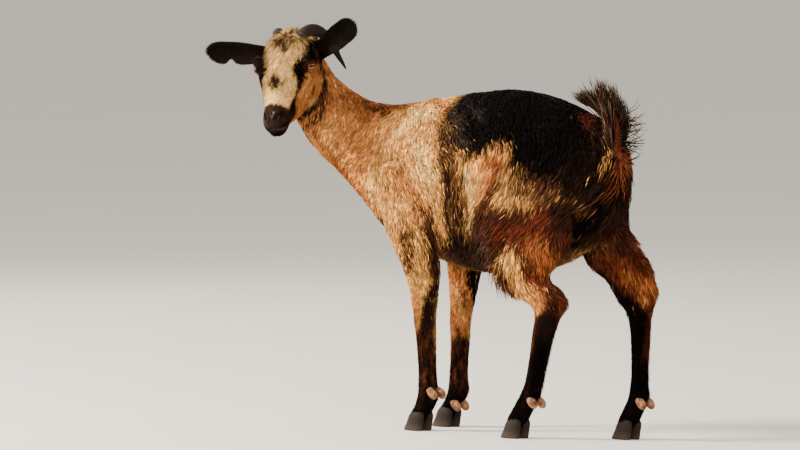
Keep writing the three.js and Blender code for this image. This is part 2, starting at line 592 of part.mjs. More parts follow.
// Legs, with the feet under them.
for (const name of legNames) {
  const [pair, hand] = name.split('_');
  const sign = SIDES[hand];
  const whole = torsoAndLegs.intersect(solidOf(grown(regionOf(name), -GAP)));
  const levels = LEG_PATH[name];
  const [footX, footY] = levels[levels.length - 2];
  const slant = new THREE.Vector3(HOOF.slope, 0, 1).normalize();
  const coronet = slant.x * footX + slant.z * HOOF.coronet;
  const upper = whole.trimByPlane([0, 0, 1], LEG_CUT[name] + GAP);
  const lower = whole.trimByPlane([0, 0, -1], -LEG_CUT[name]).trimByPlane(slant.toArray(), coronet);
  place(`${pair}leg_${hand}`, largest(upper), 'fleece');
  place(`${pair}_cannon_${hand}`, largest(lower), 'dark');
  for (const [digit, step] of [['inner', -1], ['outer', 1]]) {
    const y = sign * (footY + step * HOOF.apart);
    const claw = solidOf(clawGeometry(footX, y, sign * step));
    place(`${pair}_hoof_${hand}_${digit}`, claw.trimByPlane(slant.clone().negate().toArray(), -coronet + GAP), 'hoof');
    const height = DEWCLAW_HEIGHT[name];
    const { back, out } = backOf(name, height);
    const dewclaw = solidOf(dewclawGeometry(back, sign * (out + step * DEWCLAW.apart), height));
    const around = joined([solidOf(grown(legs[name], GAP)), solidOf(grown(clawGeometry(footX, y, sign * step), GAP))]);
    place(`${pair}_dewclaw_${hand}_${digit}`, largest(dewclaw.subtract(around)), 'horn');
  }
}

// Head, jaw, eyes, horns and ears.
const inBody = (solid) => solidOf(geometryOf(solid).applyMatrix4(headFrame));
place('head', inBody(skull.head), 'cream');
place('lower_jaw', inBody(skull.lower_jaw), 'dark');
const skullAround = solidOf(grown(skullCore(), GAP));
for (const [hand, sign] of Object.entries(SIDES)) {
  place(`eye_${hand}`, inBody(solidOf(ball(eyePlace(sign), new Array(3).fill(EYE.radius)))), 'eye');
  const horn = solidOf(hornGeometry(hand)).subtract(skullAround);
  place(`horn_${hand}`, inBody(largest(horn)), 'horn');
  const ear = solidOf(earGeometry(hand)).subtract(skullAround).subtract(solidOf(grown(hornGeometry(hand), GAP)));
  place(`ear_${hand}`, inBody(largest(ear)), 'dark');
}

// Tail.
const rump = joined([solidOf(grown(trunk, GAP)), ...['hind_left', 'hind_right'].map((n) => solidOf(grown(legs[n], GAP)))]);
const plume = TAIL_BANDS.flatMap((band) => bandLocks(TAIL, band, draw, LONG_LOCK));
const dock = joined([loft(TAIL, TAIL_SIDES, 2), ...plume].map(solidOf));
place('tail', largest(dock.subtract(rump)), 'dark');

// The finished group stands on the floor, with the origin under the middle of its box.
const box = new THREE.Box3().setFromObject(goat);
const middle = box.getCenter(new THREE.Vector3());
goat.position.set(-middle.x, -middle.y, -box.min.z);

export default goat;
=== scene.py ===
"""A standing goat: one skin, a coat of solid tufts, ears, eyes, horns and feet, on a lit floor.

Tables are in millimetres, with X = 0 and Y = 0 under the withers. The goat faces -X and its left is -Y.
"""
from math import ceil, cos, exp, pi, radians, sin, sqrt

import bmesh
import bpy
import numpy as np
from bpy.props import FloatProperty, FloatVectorProperty, IntProperty, PointerProperty
from mathutils import Matrix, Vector
from mathutils.kdtree import KDTree


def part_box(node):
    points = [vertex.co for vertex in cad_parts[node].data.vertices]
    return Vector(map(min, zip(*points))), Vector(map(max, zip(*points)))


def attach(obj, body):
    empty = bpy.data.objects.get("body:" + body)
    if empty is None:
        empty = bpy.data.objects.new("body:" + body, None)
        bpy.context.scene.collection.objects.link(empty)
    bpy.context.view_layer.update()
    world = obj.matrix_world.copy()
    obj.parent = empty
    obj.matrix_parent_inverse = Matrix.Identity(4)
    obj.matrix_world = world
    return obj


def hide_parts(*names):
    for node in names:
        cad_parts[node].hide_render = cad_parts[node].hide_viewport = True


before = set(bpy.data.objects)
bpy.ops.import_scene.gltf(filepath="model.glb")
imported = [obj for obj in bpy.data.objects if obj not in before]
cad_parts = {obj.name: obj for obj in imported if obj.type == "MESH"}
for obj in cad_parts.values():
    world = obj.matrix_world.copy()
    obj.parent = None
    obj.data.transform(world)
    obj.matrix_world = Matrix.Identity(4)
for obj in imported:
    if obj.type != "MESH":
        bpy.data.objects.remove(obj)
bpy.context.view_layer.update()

bl_info = {
    "name": "Standing Goat",
    "version": (1, 0, 0),
    "blender": (4, 5, 0),
    "location": "3D View > Sidebar > Goat",
    "description": "A still, life-size goat with its coat, horns, eyes and feet",
    "category": "Add Mesh",
}

MM = 0.001
LEFT, RIGHT = -1.0, 1.0
HANDS = {"left": LEFT, "right": RIGHT}

# ---------------------------------------------------------------- body
# A station is x, y, z, heading, pitch, up, down, side, crown, keel: its centre, the way the body runs
# there in degrees, the half sizes of its section, and how far its top and its bottom are pinched in.
TRUNK = [
    [500, 0, 490, 180, 0, 22, 36, 13, 0, 0],
    [484, 0, 489, 180, 0, 56, 72, 41, 0, 0],
    [450, 0, 484, 180, 0, 90, 100, 65, 0.1, 0],
    [410, 0, 478, 180, 0, 114, 128, 86, 0.15, 0.1],
    [350, 0, 468, 180, 0, 143, 145, 102, 0.2, 0.1],
    [280, 0, 458, 180, 0, 167, 152, 116, 0.25, 0.1],
    [205, 0, 452, 180, 0, 177, 155, 123, 0.3, 0.1],
    [130, 0, 450, 180, 0, 173, 156, 120, 0.35, 0.15],
    [60, 0, 450, 180, 0, 165, 152, 106, 0.4, 0.2],
    [5, 0, 452, 180, 2, 156, 146, 94, 0.45, 0.25],
    [-48, 0, 464, 182, 16, 148, 140, 84, 0.45, 0.3],
    [-92, -2, 488, 186, 32, 136, 128, 74, 0.4, 0.25],
    [-130, -8, 516, 194, 42, 106, 118, 64, 0.3, 0.25],
    [-166, -26, 532, 206, 46, 80, 96, 55, 0.2, 0.2],
    [-198, -50, 552, 224, 50, 62, 80, 48, 0.1, 0.15],
    [-222, -76, 578, 248, 55, 57, 66, 43, 0.1, 0.1],
    [-238, -102, 610, 274, 62, 58, 56, 41, 0.1, 0.1],
    [-245, -118, 648, 288, 64, 53, 46, 38, 0.1, 0.1],
    [-247, -126, 680, 292, 62, 30, 30, 30, 0, 0],
]
NECK_FROM = 11  # the station where the neck begins
# Half sizes of a leg's level slices from the body down: forward, back, across.
FORE_GIRTH = [
    [38, 40, 26], [44, 50, 30], [42, 48, 32], [38, 46, 31], [31, 38, 28], [24, 29, 23.5], [22, 24, 22],
    [22, 21, 21], [19.5, 19.5, 19.5], [18.5, 18.5, 18], [18.5, 19.5, 19], [19.5, 23, 21], [19, 21, 20.5],
    [20, 19, 20.5], [18, 18, 19],
]
LEG_GIRTH = {
    "hind_left": [
        [36, 36, 13], [78, 60, 29], [94, 66, 38], [100, 68, 40], [100, 68, 37], [95, 60, 33], [84, 50, 29],
        [70, 52, 26], [72, 50, 23], [55, 44, 20.5], [36, 32, 18.5], [24, 26, 17], [19, 21, 16], [19, 21, 16],
        [22, 25, 19.5], [21, 22, 20.5], [21, 21, 20.5], [17, 17, 18.5],
    ],
    "hind_right": [
        [36, 36, 13], [76, 60, 29], [90, 66, 37], [90, 64, 38], [84, 62, 34], [75, 73, 30], [80, 76, 27],
        [65, 62, 25], [50, 50, 23], [41, 40, 20.5], [29, 30, 19], [20, 22, 17], [17, 18.5, 16],
        [17, 18.5, 16], [21, 24, 19], [21, 22, 20.5], [21, 21, 20.5], [17, 17, 18.5],
    ],
    "fore_left": FORE_GIRTH,
    "fore_right": FORE_GIRTH,
}
# The middle of each slice: x, distance from the midline, z.
LEG_PATH = {
    "hind_left": [
        [376, 45, 560], [377, 53, 520], [378, 57, 470], [375, 58, 420], [366, 59, 375], [352, 63, 338],
        [333, 66, 308], [336, 68, 286], [360, 68, 268], [384, 68, 250], [385, 68, 230], [367, 68, 188],
        [352, 67, 140], [339, 66, 100], [326, 66, 72], [310, 66, 52], [297, 66, 34], [292, 66, 24],
    ],
    "hind_right": [
        [380, 45, 560], [380, 53, 520], [380, 57, 470], [382, 58, 422], [387, 59, 380], [400, 63, 345],
        [425, 66, 316], [449, 68, 293], [464, 68, 274], [472, 68, 254], [476, 68, 232], [478, 68, 190],
        [478, 67, 145], [478, 66, 106], [476, 66, 76], [463, 66, 54], [451, 66, 35], [446, 66, 24],
    ],
    "fore_left": [
        [-34, 66, 480], [-30, 70, 440], [-16, 74, 390], [8, 75, 345], [26, 71, 300], [33, 67, 250],
        [34, 65, 215], [35, 64, 192], [37, 63, 160], [38, 62, 120], [38, 61, 90], [38, 60, 68], [28, 59, 48],
        [16, 58, 32], [12, 58, 22],
    ],
    "fore_right": [
        [-34, 66, 480], [-34, 70, 440], [-32, 74, 390], [-24, 74, 345], [-16, 70, 300], [-13, 65, 250],
        [-13, 62, 215], [-13, 60, 192], [-13, 59, 160], [-14, 58, 120], [-15, 57, 90], [-15, 56, 68],
        [-25, 55, 48], [-37, 54, 32], [-41, 54, 22],
    ],
}
HOOF = {"toe": 33, "heel": 19, "side": 9.4, "apart": 10.4, "splay": 3}
DEWCLAW = {"apart": 10, "radius": 7.4, "pitch": -40}
# A dewclaw's sections: how far behind the leg, above its height, and half sizes in shares of its radius.
DEWCLAW_ROWS = [
    [-8, 6, 0.8, 0.8, 0.8],
    [-1, 1, 1.1, 1.1, 1],
    [3.8, -3, 1.1, 1.05, 1],
    [7.98, -7, 0.85, 0.8, 0.8],
    [10.26, -9, 0.4, 0.4, 0.4],
]
DEWCLAW_HEIGHT = {"hind_left": 68, "hind_right": 68, "fore_left": 71, "fore_right": 42}

# ---------------------------------------------------------------- head, in its own frame
# X runs forward to the nose, Y to the goat's left and Z up, from the poll.
HEAD = {"at": [-236.2, -150.3, 722.5], "heading": 297.5, "pitch": -45.8, "roll": -2.6}
SKULL = [
    [-10, 0, -32, 0, 0, 14, 20, 22, 0, 0],
    [2, 0, -29, 0, 0, 29, 42, 42, 0.1, 0],
    [25, 0, -24, 0, 0, 36, 70, 52, 0.1, 0],
    [50, 0, -22, 0, 0, 35, 86, 56, 0.1, -0.05],
    [72, 0, -20, 0, 0, 30, 90, 57, 0.1, 0],
    [90, 0, -23, 0, 0, 28, 86, 52, 0.15, -0.05],
    [108, 0, -29, 0, 0, 29, 75, 45, 0.25, -0.1],
    [132, 0, -38, 0, 0, 33, 56, 36, 0.3, -0.1],
    [158, 0, -45, 0, 0, 31, 37, 27, 0.2, 0],
    [176, 0, -48, 0, 0, 28, 30, 25, 0.1, 0],
    [190, 0, -49, 0, 0, 21, 25, 21, 0.05, 0],
    [199, 0, -50, 0, 0, 11, 13, 12, 0, 0],
]
EYE = {"at": [74.5, 45.5, -12.5], "radius": 13.5, "lid": 1.8, "long": 10.0, "tall": 4.8}
# How far lids reach from an eye, where they end, and how they are shaped.
LID = {"reach": 30, "end": 34, "upper": 0.85, "blend": 7.0, "sunk": 4.5, "fold": 1.1}
EYE_LOOK = [0.42, 0.88, 0.2]
EYE_FISSURE = [0.8, -0.3, 0.5]
# A horn's path in the head's frame: forward, out, up and the radius there.
HORN_PATH = [
    [24, 22, -16, 12.5],
    [14, 27, 3, 12.0],
    [-4, 37, -5, 11.2],
    [-13, 47, -27, 9.4],
    [-9, 57, -54, 7.0],
    [0, 65, -72, 4.8],
    [6, 71, -84, 3.2],
    [12, 76, -94, 1.2],
]
HORN_RING, HORN_RELIEF, HORN_SIDES = 5.4, 0.45, 28
HORN_SHIFT = {"left": [0, 0, 0], "right": [-2, 0, -12]}
EAR = {"at": [33, 44, -30], "length": 121, "half": 21.5, "cup": 13, "wall": 2.4}
NOTCH = {"at": 0.64, "half": 0.07, "deep": 0.45}  # in the right ear, in shares of its length and width
EAR_LIE = {
    "left": {"along": [-0.08, 0.81, 0.58], "face": [0.6, 0.2, 0.6]},
    "right": {"along": [0.10, -0.975, 0.19], "face": [0.75, 0.1, 0.45]},
}
TAIL = [
    [474, 0, 498, 0, 65, 15, 15, 17, 0, 0],
    [488, 0, 530, 0, 80, 17, 13, 18, 0, 0],
    [491, 0, 560, 0, 96, 21, 11, 16, 0.2, 0],
    [481, 0, 586, 0, 114, 23, 12, 13, 0.3, 0],
    [461, 0, 604, 0, 136, 15, 12, 9, 0.3, 0],
    [440, 0, 614, 0, 155, 5, 6, 4, 0, 0],
]
# How deep the coat lies over the skin, and how many of a hind leg's stations are thigh.
COAT_DEPTH = {"trunk": 8.0, "neck": 5.0, "leg": 2.5, "thigh": 7.0, "head": 2.0, "tail": 5.0}
THIGH_STATIONS = 8

# Markings lie in a plane that is looked at from behind the goat's left side. A mark is a colour, how soft
# its edge is, and a line of places along it: right and up in the plane from under the withers, and the half
# width there.
# Black hair with painted shadow between the thighs, under the rump.
UNDER_RUMP_HAIR_AND_SHADE = ("black", 8, [315, 429, 7.3], [291, 404, 14.5], [265, 380, 14.5], [249, 360, 9.1])
FLANK_MARKS = [
    ("gold", 14, [-124, 453, 16.4], [-87, 480, 32.7], [-45, 525, 40], [-36, 453, 36.4]),
    ("gold", 10, [-113, 424, 14.5], [-80, 402, 16.4], [-91, 358, 12.7]),
    ("cream", 9, [-125, 475, 4.5], [-122, 435, 5.5], [-104, 411, 5.5]),
    ("cream", 12, [-36, 516, 7.3], [-24, 480, 10.9], [-13, 444, 7.3]),
    ("cream", 14, [-69, 547, 7.3], [-47, 569, 9.1], [-18, 580, 7.3]),
    ("orange", 8, [-167, 620, 2.7], [-149, 598, 5.5], [-131, 584, 8.2], [-102, 578, 8.2], [-76, 585, 6.4],
        [-55, 596, 3.6]),
    ("brown", 7, [-142, 596, 1.8], [-120, 582, 4], [-95, 582, 4.5], [-73, 589, 1.8]),
    ("orange", 8, [-36, 604, 1.8], [0, 607, 3.6], [33, 607, 3.6]),
    ("orange", 8, [-15, 593, 1.8], [2, 585, 4.5], [7, 575, 1.8]),
    ("orange", 12, [-198, 507, 5.5], [-173, 467, 7.3], [-149, 435, 7.3], [-135, 416, 5.5]),
    ("tan", 12, [-73, 467, 9.1], [-51, 442, 10.9], [-29, 416, 7.3]),
    ("dark", 7, [-115, 395, 3.6], [-96, 382, 6.4], [-75, 373, 5.5]),
    ("brown", 9, [-44, 416, 3.6], [-25, 405, 9.1], [-15, 376, 10.9], [-7, 344, 9.1]),
    ("tan", 7, [-111, 376, 5.5], [-87, 351, 7.3], [-76, 333, 7.3]),
    ("gold", 6, [-24, 478, 3.6], [-11, 442, 5.5], [2, 407, 6.4], [9, 376, 5.5], [5, 335, 6.4]),
    ("brown", 12, [69, 353, 32.7], [109, 376, 40], [164, 371, 47.3], [222, 389, 43.6]),
    ("rust", 18, [113, 369, 21.8], [164, 384, 25.5], [211, 398, 25.5]),
    ("dark", 11, [15, 351, 14.5], [40, 344, 21.8], [69, 333, 21.8]),
    ("brown", 9, [55, 407, 10.9], [73, 376, 16.4], [91, 344, 14.5]),
    ("gold", 9, [42, 493, 10.9], [53, 467, 18.2], [60, 431, 18.2], [56, 402, 12.7], [55, 365, 4.5]),
    ("cream", 9, [53, 475, 7.3], [62, 438, 10.9], [58, 402, 7.3], [56, 369, 2.7]),
    ("tan", 9, [87, 493, 9.1], [98, 475, 10.9], [91, 453, 7.3]),
    ("brown", 9, [109, 458, 5.5], [100, 440, 10.9], [87, 416, 12.7], [78, 393, 10.9]),
    ("sand", 13, [124, 460, 14.5], [131, 435, 12.7], [153, 453, 23.6], [182, 449, 20], [204, 435, 9.1]),
    ("gold", 10, [124, 442, 9.1], [153, 453, 12.7], [182, 445, 10.9]),
    ("brown", 10, [136, 471, 3.6], [164, 475, 7.3], [193, 465, 9.1], [211, 445, 10.9]),
    ("orange", 9, [95, 504, 7.3], [109, 511, 10.9], [115, 489, 7.3]),
]
MOTTLED_MARKS = [
    ("umber", 10, [104, 511, 5.5], [111, 493, 9.1], [109, 475, 9.1], [95, 456, 5.5]),
    ("brown", 10, [142, 475, 5.5], [182, 460, 7.3], [218, 442, 7.3], [255, 424, 7.3]),
    ("brown", 12, [11, 533, 14.5], [18, 480, 21.8], [24, 435, 25.5], [33, 398, 25.5], [44, 358, 20]),
    ("dark", 10, [13, 480, 9.1], [18, 435, 14.5], [27, 398, 16.4], [36, 365, 14.5]),
    ("brown", 10, [109, 456, 7.3], [149, 445, 10.9], [196, 435, 12.7]),
    ("brown", 10, [69, 376, 10.9], [95, 405, 12.7], [136, 395, 9.1], [182, 387, 7.3]),
    ("brown", 8, [-107, 387, 3.6], [-87, 376, 5.5], [-67, 365, 5.5]),
    ("brown", 9, [-36, 416, 7.3], [-18, 395, 9.1], [-11, 365, 7.3]),
    # painted shade on the neck along the back edge of the cheek and under the jaw
    ("dark", 6, [-207, 627, 1.8], [-209, 598, 3.6], [-218, 575, 5.5], [-238, 560, 7.3], [-245, 547, 5.5],
        [-240, 522, 1.8]),
]
BELLY_MARKS = [
    ("black", 9, [13, 362, 9.1], [33, 344, 23.6], [69, 325, 27.3]),
    ("brown", 8, [80, 351, 7.3], [95, 325, 10.9], [98, 293, 10.9]),
    ("grey", 9, [87, 369, 3.6], [91, 344, 5.5], [95, 315, 3.6]),
]
GREY_MARKS = [
    ("grey", 12, [24, 576, 5.5], [35, 562, 9.1], [29, 536, 9.1], [44, 518, 7.3]),
    ("grey", 8, [47, 593, 3.6], [62, 580, 5.5], [73, 565, 3.6]),
]
RUMP_MARKS = [
    ("brown", 6, [298, 489, 7.3], [298, 462, 14.5], [284, 425, 18.2], [264, 407, 14.5]),
    ("rust", 6, [251, 571, 3.6], [269, 551, 6.4], [284, 529, 8.2], [287, 500, 7.3]),
    ("rust", 5, [193, 609, 1.8], [229, 598, 2.2], [262, 580, 2.7]),
    ("sand", 2, [262, 582, 2.9], [283, 565, 3.6], [296, 547, 4.4], [303, 522, 4.7], [303, 502, 4],
        [296, 480, 2.9], [286, 458, 1.8]),
    ("rust", 4, [318, 556, 3.1], [325, 522, 7.3], [326, 491, 8], [320, 460, 7.3], [315, 435, 4.5]),
    ("tan", 4, [324, 516, 2.2], [325, 489, 2.9], [316, 453, 1.8]),
    ("rust", 8, [291, 425, 5.5], [302, 407, 5.5]),
    # black hair with painted shadow between the thighs
    ("black", 8, [236, 340, 7.3], [269, 364, 12.7], [298, 382, 14.5], [331, 407, 16.4]),
    ("brown", 6, [298, 438, 9.1], [302, 416, 9.1], [295, 395, 7.3]),
    UNDER_RUMP_HAIR_AND_SHADE,
]
REAR_MARKS = [
    ("gold", 4, [251, 593, 2.7], [273, 584, 4], [291, 571, 5.5], [304, 551, 6.2], [307, 529, 6.2],
        [302, 507, 5.8], [293, 487, 4.7]),
    ("umber", 5, [318, 556, 3.1], [325, 522, 6.2], [326, 491, 7.6], [320, 460, 5.5], [315, 440, 3.6]),
    UNDER_RUMP_HAIR_AND_SHADE,
    ("dark", 8, [331, 453, 10.9], [336, 416, 14.5], [338, 387, 10.9]),
]
LEG_MARKS = {
    "hind_left": [
        ("brown", 14, [118, 353, 47.3], [164, 353, 50.9], [218, 371, 47.3]),
        ("rust", 16, [145, 365, 21.8], [191, 358, 29.1], [218, 371, 18.2]),
        ("orange", 16, [182, 344, 21.8], [196, 311, 21.8], [167, 296, 10.9]),
        ("rust", 10, [149, 304, 14.5], [167, 278, 16.4]),
        ("dark", 6, [200, 327, 3.6], [205, 322, 3.6]),
        ("brown", 9, [84, 335, 12.7], [89, 293, 10.9], [95, 253, 12.7]),
        ("sand", 9, [87, 344, 3.6], [95, 311, 5.5], [98, 285, 3.6]),
        ("dark", 7, [135, 329, 3.6], [138, 304, 4.5], [147, 278, 3.6]),
        ("gold", 6, [115, 333, 9.1], [122, 311, 12.7], [122, 289, 10], [129, 265, 7.3], [142, 235, 5.5]),
        ("cream", 6, [120, 318, 4.5], [122, 293, 3.6]),
        ("dark", 7, [102, 278, 3.6], [109, 256, 5.5], [116, 238, 3.6]),
        ("tan", 10, [156, 264, 10.9], [173, 245, 16.4], [167, 224, 10.9]),
        ("gold", 7, [149, 260, 3.6], [164, 238, 5.5], [169, 222, 5.5]),
        ("brown", 5, [144, 235, 3.6], [153, 220, 4.5]),
        ("dark", 6, [193, 278, 2.7], [209, 260, 3.6], [222, 245, 3.6]),
        ("rust", 5, [218, 240, 4.5], [224, 229, 4.5]),
        ("dark", 6, [195, 240, 7.3], [202, 224, 9.1], [193, 205, 18.2], [193, 176, 25.5]),
        ("sand", 6, [153, 213, 2.7], [160, 198, 2.7]),
        ("black", 12, [191, 153, 25.5], [173, 89, 32.7], [145, 16, 43.6]),
        UNDER_RUMP_HAIR_AND_SHADE,
        ("brown", 7, [100, 338, 16.4], [107, 298, 18.2], [115, 253, 16.4]),
        ("dark", 5, [98, 304, 7.3], [109, 267, 10.9], [116, 242, 9.1]),
        ("tan", 4, [95, 344, 3.6], [104, 304, 3.6]),
        ("gold", 5, [131, 338, 7.3], [138, 304, 9.1], [147, 264, 9.1], [155, 235, 5.5]),
    ],
    "hind_right": [
        ("brown", 14, [273, 353, 36.4], [313, 329, 29.1]),
        ("rust", 14, [302, 315, 21.8], [336, 304, 25.5], [356, 285, 18.2]),
        ("orange", 12, [331, 300, 9.1], [356, 282, 12.7], [378, 271, 9.1]),
        ("orange", 7, [273, 333, 1.8], [291, 344, 2.7], [309, 355, 1.8]),
        ("black", 6, [273, 311, 3.6], [291, 289, 7.3], [305, 267, 10.9], [327, 249, 20], [345, 224, 21.8],
            [360, 195, 25.5], [364, 89, 36.4], [364, 16, 43.6]),
        ("tan", 5, [358, 260, 2.7], [369, 247, 5.5], [364, 235, 2.7]),
        ("rust", 6, [382, 253, 4.5], [382, 231, 4.5], [373, 198, 3.6], [375, 144, 3.6]),
    ],
    "fore_left": [
        ("gold", 12, [-36, 407, 47.3], [-36, 307, 40], [-40, 253, 32.7]),
        ("brown", 9, [-62, 369, 7.3], [-58, 335, 9.1], [-62, 304, 7.3]),
        ("brown", 9, [-36, 407, 7.3], [-22, 376, 12.7], [-15, 335, 12.7], [-11, 298, 12.7]),
        ("dark", 8, [-29, 389, 2.7], [-18, 353, 5.5], [-11, 316, 5.5]),
        ("gold", 5, [2, 389, 6.4], [5, 353, 6.4], [0, 316, 5.5]),
        ("gold", 8, [-44, 344, 7.3], [-38, 304, 9.1], [-42, 271, 9.1]),
        ("dark", 5, [-62, 253, 5.5], [-53, 225, 5.5], [-49, 198, 5.5]),
        ("dark", 5, [-7, 293, 7.3], [-15, 253, 10.9], [-22, 216, 12.7], [-25, 189, 16.4]),
        ("black", 7, [-29, 165, 21.8], [-25, 89, 29.1], [-29, 16, 43.6]),
        ("tan", 4, [-45, 253, 7.3], [-42, 225, 5.5], [-40, 189, 2.7]),
    ],
    "fore_right": [
        ("tan", 12, [36, 289, 36.4], [36, 216, 29.1], [33, 180, 18.2]),
        ("gold", 7, [29, 267, 5.5], [36, 235, 7.3], [44, 202, 5.5]),
        ("brown", 7, [44, 262, 2.7], [47, 225, 3.6]),
        # painted shadow of the belly's hair on the leg
        ("black", 6, [62, 304, 14.5], [65, 262, 10.9], [67, 216, 7.3]),
        ("dark", 6, [15, 235, 3.6], [13, 198, 5.5]),
        ("black", 8, [40, 153, 21.8], [40, 89, 29.1], [36, 16, 43.6]),
        ("brown", 5, [33, 189, 3.6], [36, 153, 3.6]),
    ],
}
SADDLE_EDGE = [
    [42, 613], [31, 591], [20, 576], [15, 556], [13, 524], [29, 505], [65, 500], [84, 511], [93, 520],
    [107, 525], [125, 515], [129, 489], [145, 480], [167, 478], [193, 469], [207, 453], [220, 438],
    [255, 424], [309, 416], [345, 435], [349, 489], [336, 544], [316, 569], [291, 584], [262, 591],
    [236, 605], [182, 624], [109, 627], [64, 620],
]
# Which way the hair lies at places of the same plane: right and up, then the way.
HAIR_FLOW = [
    [-198, 622, 0.15, -1], [-165, 589, 0.1, -1], [-149, 598, 0.4, -0.9], [-173, 542, -0.3, -0.95],
    [-156, 500, -0.65, -0.75], [-125, 542, -0.6, -0.8], [-215, 542, -0.35, -0.93], [-100, 565, -0.7, -0.7],
    [-205, 509, 0.1, -1], [-182, 460, 0.4, -0.9], [-109, 476, 0, -1], [-93, 500, 0.15, -0.98],
    [-64, 489, 0.4, -0.9], [-87, 535, -0.4, -0.9], [-42, 556, -0.1, -1], [-36, 598, 0.6, -0.6],
    [9, 602, 0.9, -0.3], [-111, 444, 0, -1], [-67, 435, 0.35, -0.94], [-11, 425, 0.45, -0.9],
    [11, 471, 0.3, -0.95], [11, 525, 0.1, -1], [36, 416, 0.45, -0.9], [55, 471, -0.1, -1], [55, 371, 0, -1],
    [40, 569, 0.8, -0.5], [64, 525, 0.3, -0.9], [91, 489, -0.4, -0.9], [76, 425, -0.35, -0.94],
    [156, 435, -0.3, -0.95], [184, 442, -0.15, -1], [193, 405, -0.6, -0.8], [138, 387, -0.75, -0.66],
    [100, 358, -0.5, -0.86], [165, 358, -0.45, -0.9], [231, 387, -0.6, -0.8], [202, 322, 0.2, -0.98],
    [118, 316, 0, -1], [153, 307, 0.3, -0.95], [276, 349, -0.7, -0.7], [109, 562, 0.6, -0.7],
    [182, 562, 0.5, -0.8], [255, 544, 0.2, -1], [273, 480, -0.3, -0.95], [27, 344, 0.2, -0.98],
    [73, 304, -0.1, -1], [-73, 358, 0.25, -0.97], [-22, 358, 0.2, -0.98],
]
VIEW_TURN, VIEW_RISE = 50.0, 3.0  # of that plane, in degrees

made = {}  # the skin's arrays and the objects that the operators share


# ================================================================ shapes

def axes(heading, pitch):
    """The way ahead, to the left and up at a station."""
    h, p = radians(heading), radians(pitch)
    ahead = np.array([cos(p) * cos(h), cos(p) * sin(h), sin(p)])
    left = np.array([-sin(h), cos(h), 0.0])
    up = np.array([-sin(p) * cos(h), -sin(p) * sin(h), cos(p)])
    return ahead, left, up


def section(row, sides):
    """The points round a station, from its left over its top."""
    x, y, z, heading, pitch, up, down, side, crown, keel = row
    _, left, high = axes(heading, pitch)
    angle = np.arange(sides) * 2 * pi / sides
    rise = np.sin(angle)[:, None]
    pinch = 1 - np.where(rise > 0, crown, keel) * rise * rise
    across = side * pinch * np.cos(angle)[:, None] * left
    return np.array([x, y, z]) + across + np.where(rise > 0, up, down) * rise * high


def smooth_rows(rows, steps):
    """Catmull-Rom through the rows, with `steps` pieces between each two."""
    rows = np.array(rows, float)
    before = np.vstack([rows[:1], rows[:-2]])
    after = np.vstack([rows[2:], rows[-1:]])
    out = []
    for p, q, r, s in zip(before, rows[:-1], rows[1:], after):
        for t in np.arange(steps) / steps:
            bend = t * (2 * p - 5 * q + 4 * r - s + t * (3 * (q - r) + s - p))
            out.append(q + 0.5 * t * (r - p + bend))
    out.append(rows[-1])
    return out


def leg_rows(name):
    """Stations down a leg, in the same terms as the trunk's."""
    sign = HANDS[name.split("_")[1]]
    slices = zip(LEG_PATH[name], LEG_GIRTH[name])
    return [[x, sign * y, z, 180, -90, *girth, 0, 0] for (x, y, z), girth in slices]


def thinned(rows, depths):
    """The rows with each section drawn in by the coat's depth there."""
    out = []
    for row, depth in zip(rows, depths):
        sizes = [max(size - depth, 0.45 * size) for size in row[5:8]]
        out.append([*row[:5], *sizes, *row[8:]])
    return out


def head_matrix():
    """From the head's frame to the body's."""
    ahead, left, up = axes(HEAD["heading"], HEAD["pitch"])
    basis = np.eye(4)
    basis[:3, 0], basis[:3, 1], basis[:3, 2], basis[:3, 3] = ahead, left, up, HEAD["at"]
    roll = radians(-HEAD["roll"])
    turn = np.eye(4)
    turn[1:3, 1:3] = [[cos(roll), -sin(roll)], [sin(roll), cos(roll)]]
    return basis @ turn


HEAD_MATRIX = head_matrix()
HEAD_TURN, HEAD_AT = HEAD_MATRIX[:3, :3], HEAD_MATRIX[:3, 3]


def in_body(points):
    """Points of the head's frame in the body's."""
    return np.asarray(points, float) @ HEAD_TURN.T + HEAD_AT


def in_head(points):
    """Points of the body's frame in the head's."""
    return (np.asarray(points, float) - HEAD_AT) @ HEAD_TURN


def unit(vectors):
    """The vectors, each one long."""
    vectors = np.asarray(vectors, float)
    return vectors / np.maximum(np.linalg.norm(vectors, axis=-1, keepdims=True), 1e-9)


def square_to(vector, axis):
    """The part of a vector that is square to an axis, one long."""
    return unit(vector - vector.dot(axis) * axis)


def flattened(vectors, normals):
    """The vectors without their part along the normals."""
    return vectors - (vectors * normals).sum(1)[:, None] * normals


def folded_over(points):
    """Points with the right side laid over the left, for what is the same on both."""
    return np.stack([points[:, 0], np.abs(points[:, 1]), points[:, 2]], 1)


def claw_rows(x, y):
    """The stations of one claw of a foot, from inside the pastern to the floor."""
    toe, heel, side = HOOF["toe"], HOOF["heel"], HOOF["side"]
    return [
        [x + 2, y, 40, 180, -90, toe * 0.3, heel * 0.5, side * 0.6, 0.2, 0],
        [x, y, 29, 180, -90, toe * 0.62, heel * 0.95, side, 0.25, 0.1],
        [x - 3, y, 14, 180, -90, toe * 0.82, heel, side, 0.35, 0.1],
        [x - 5, y, 3, 180, -90, toe, heel, side, 0.4, 0.1],
        [x - 5, y, 0, 180, -90, toe - 1.5, heel - 1.5, side - 1, 0.4, 0.1],
    ]


def splayed(points, x, y, hand):
    """Points of a claw turned outwards about its own middle."""
    turn = radians(hand * HOOF["splay"])
    out = points.copy()
    out[:, 0] = x + (points[:, 0] - x) * cos(turn) - (points[:, 1] - y) * sin(turn)
    out[:, 1] = y + (points[:, 0] - x) * sin(turn) + (points[:, 1] - y) * cos(turn)
    return out


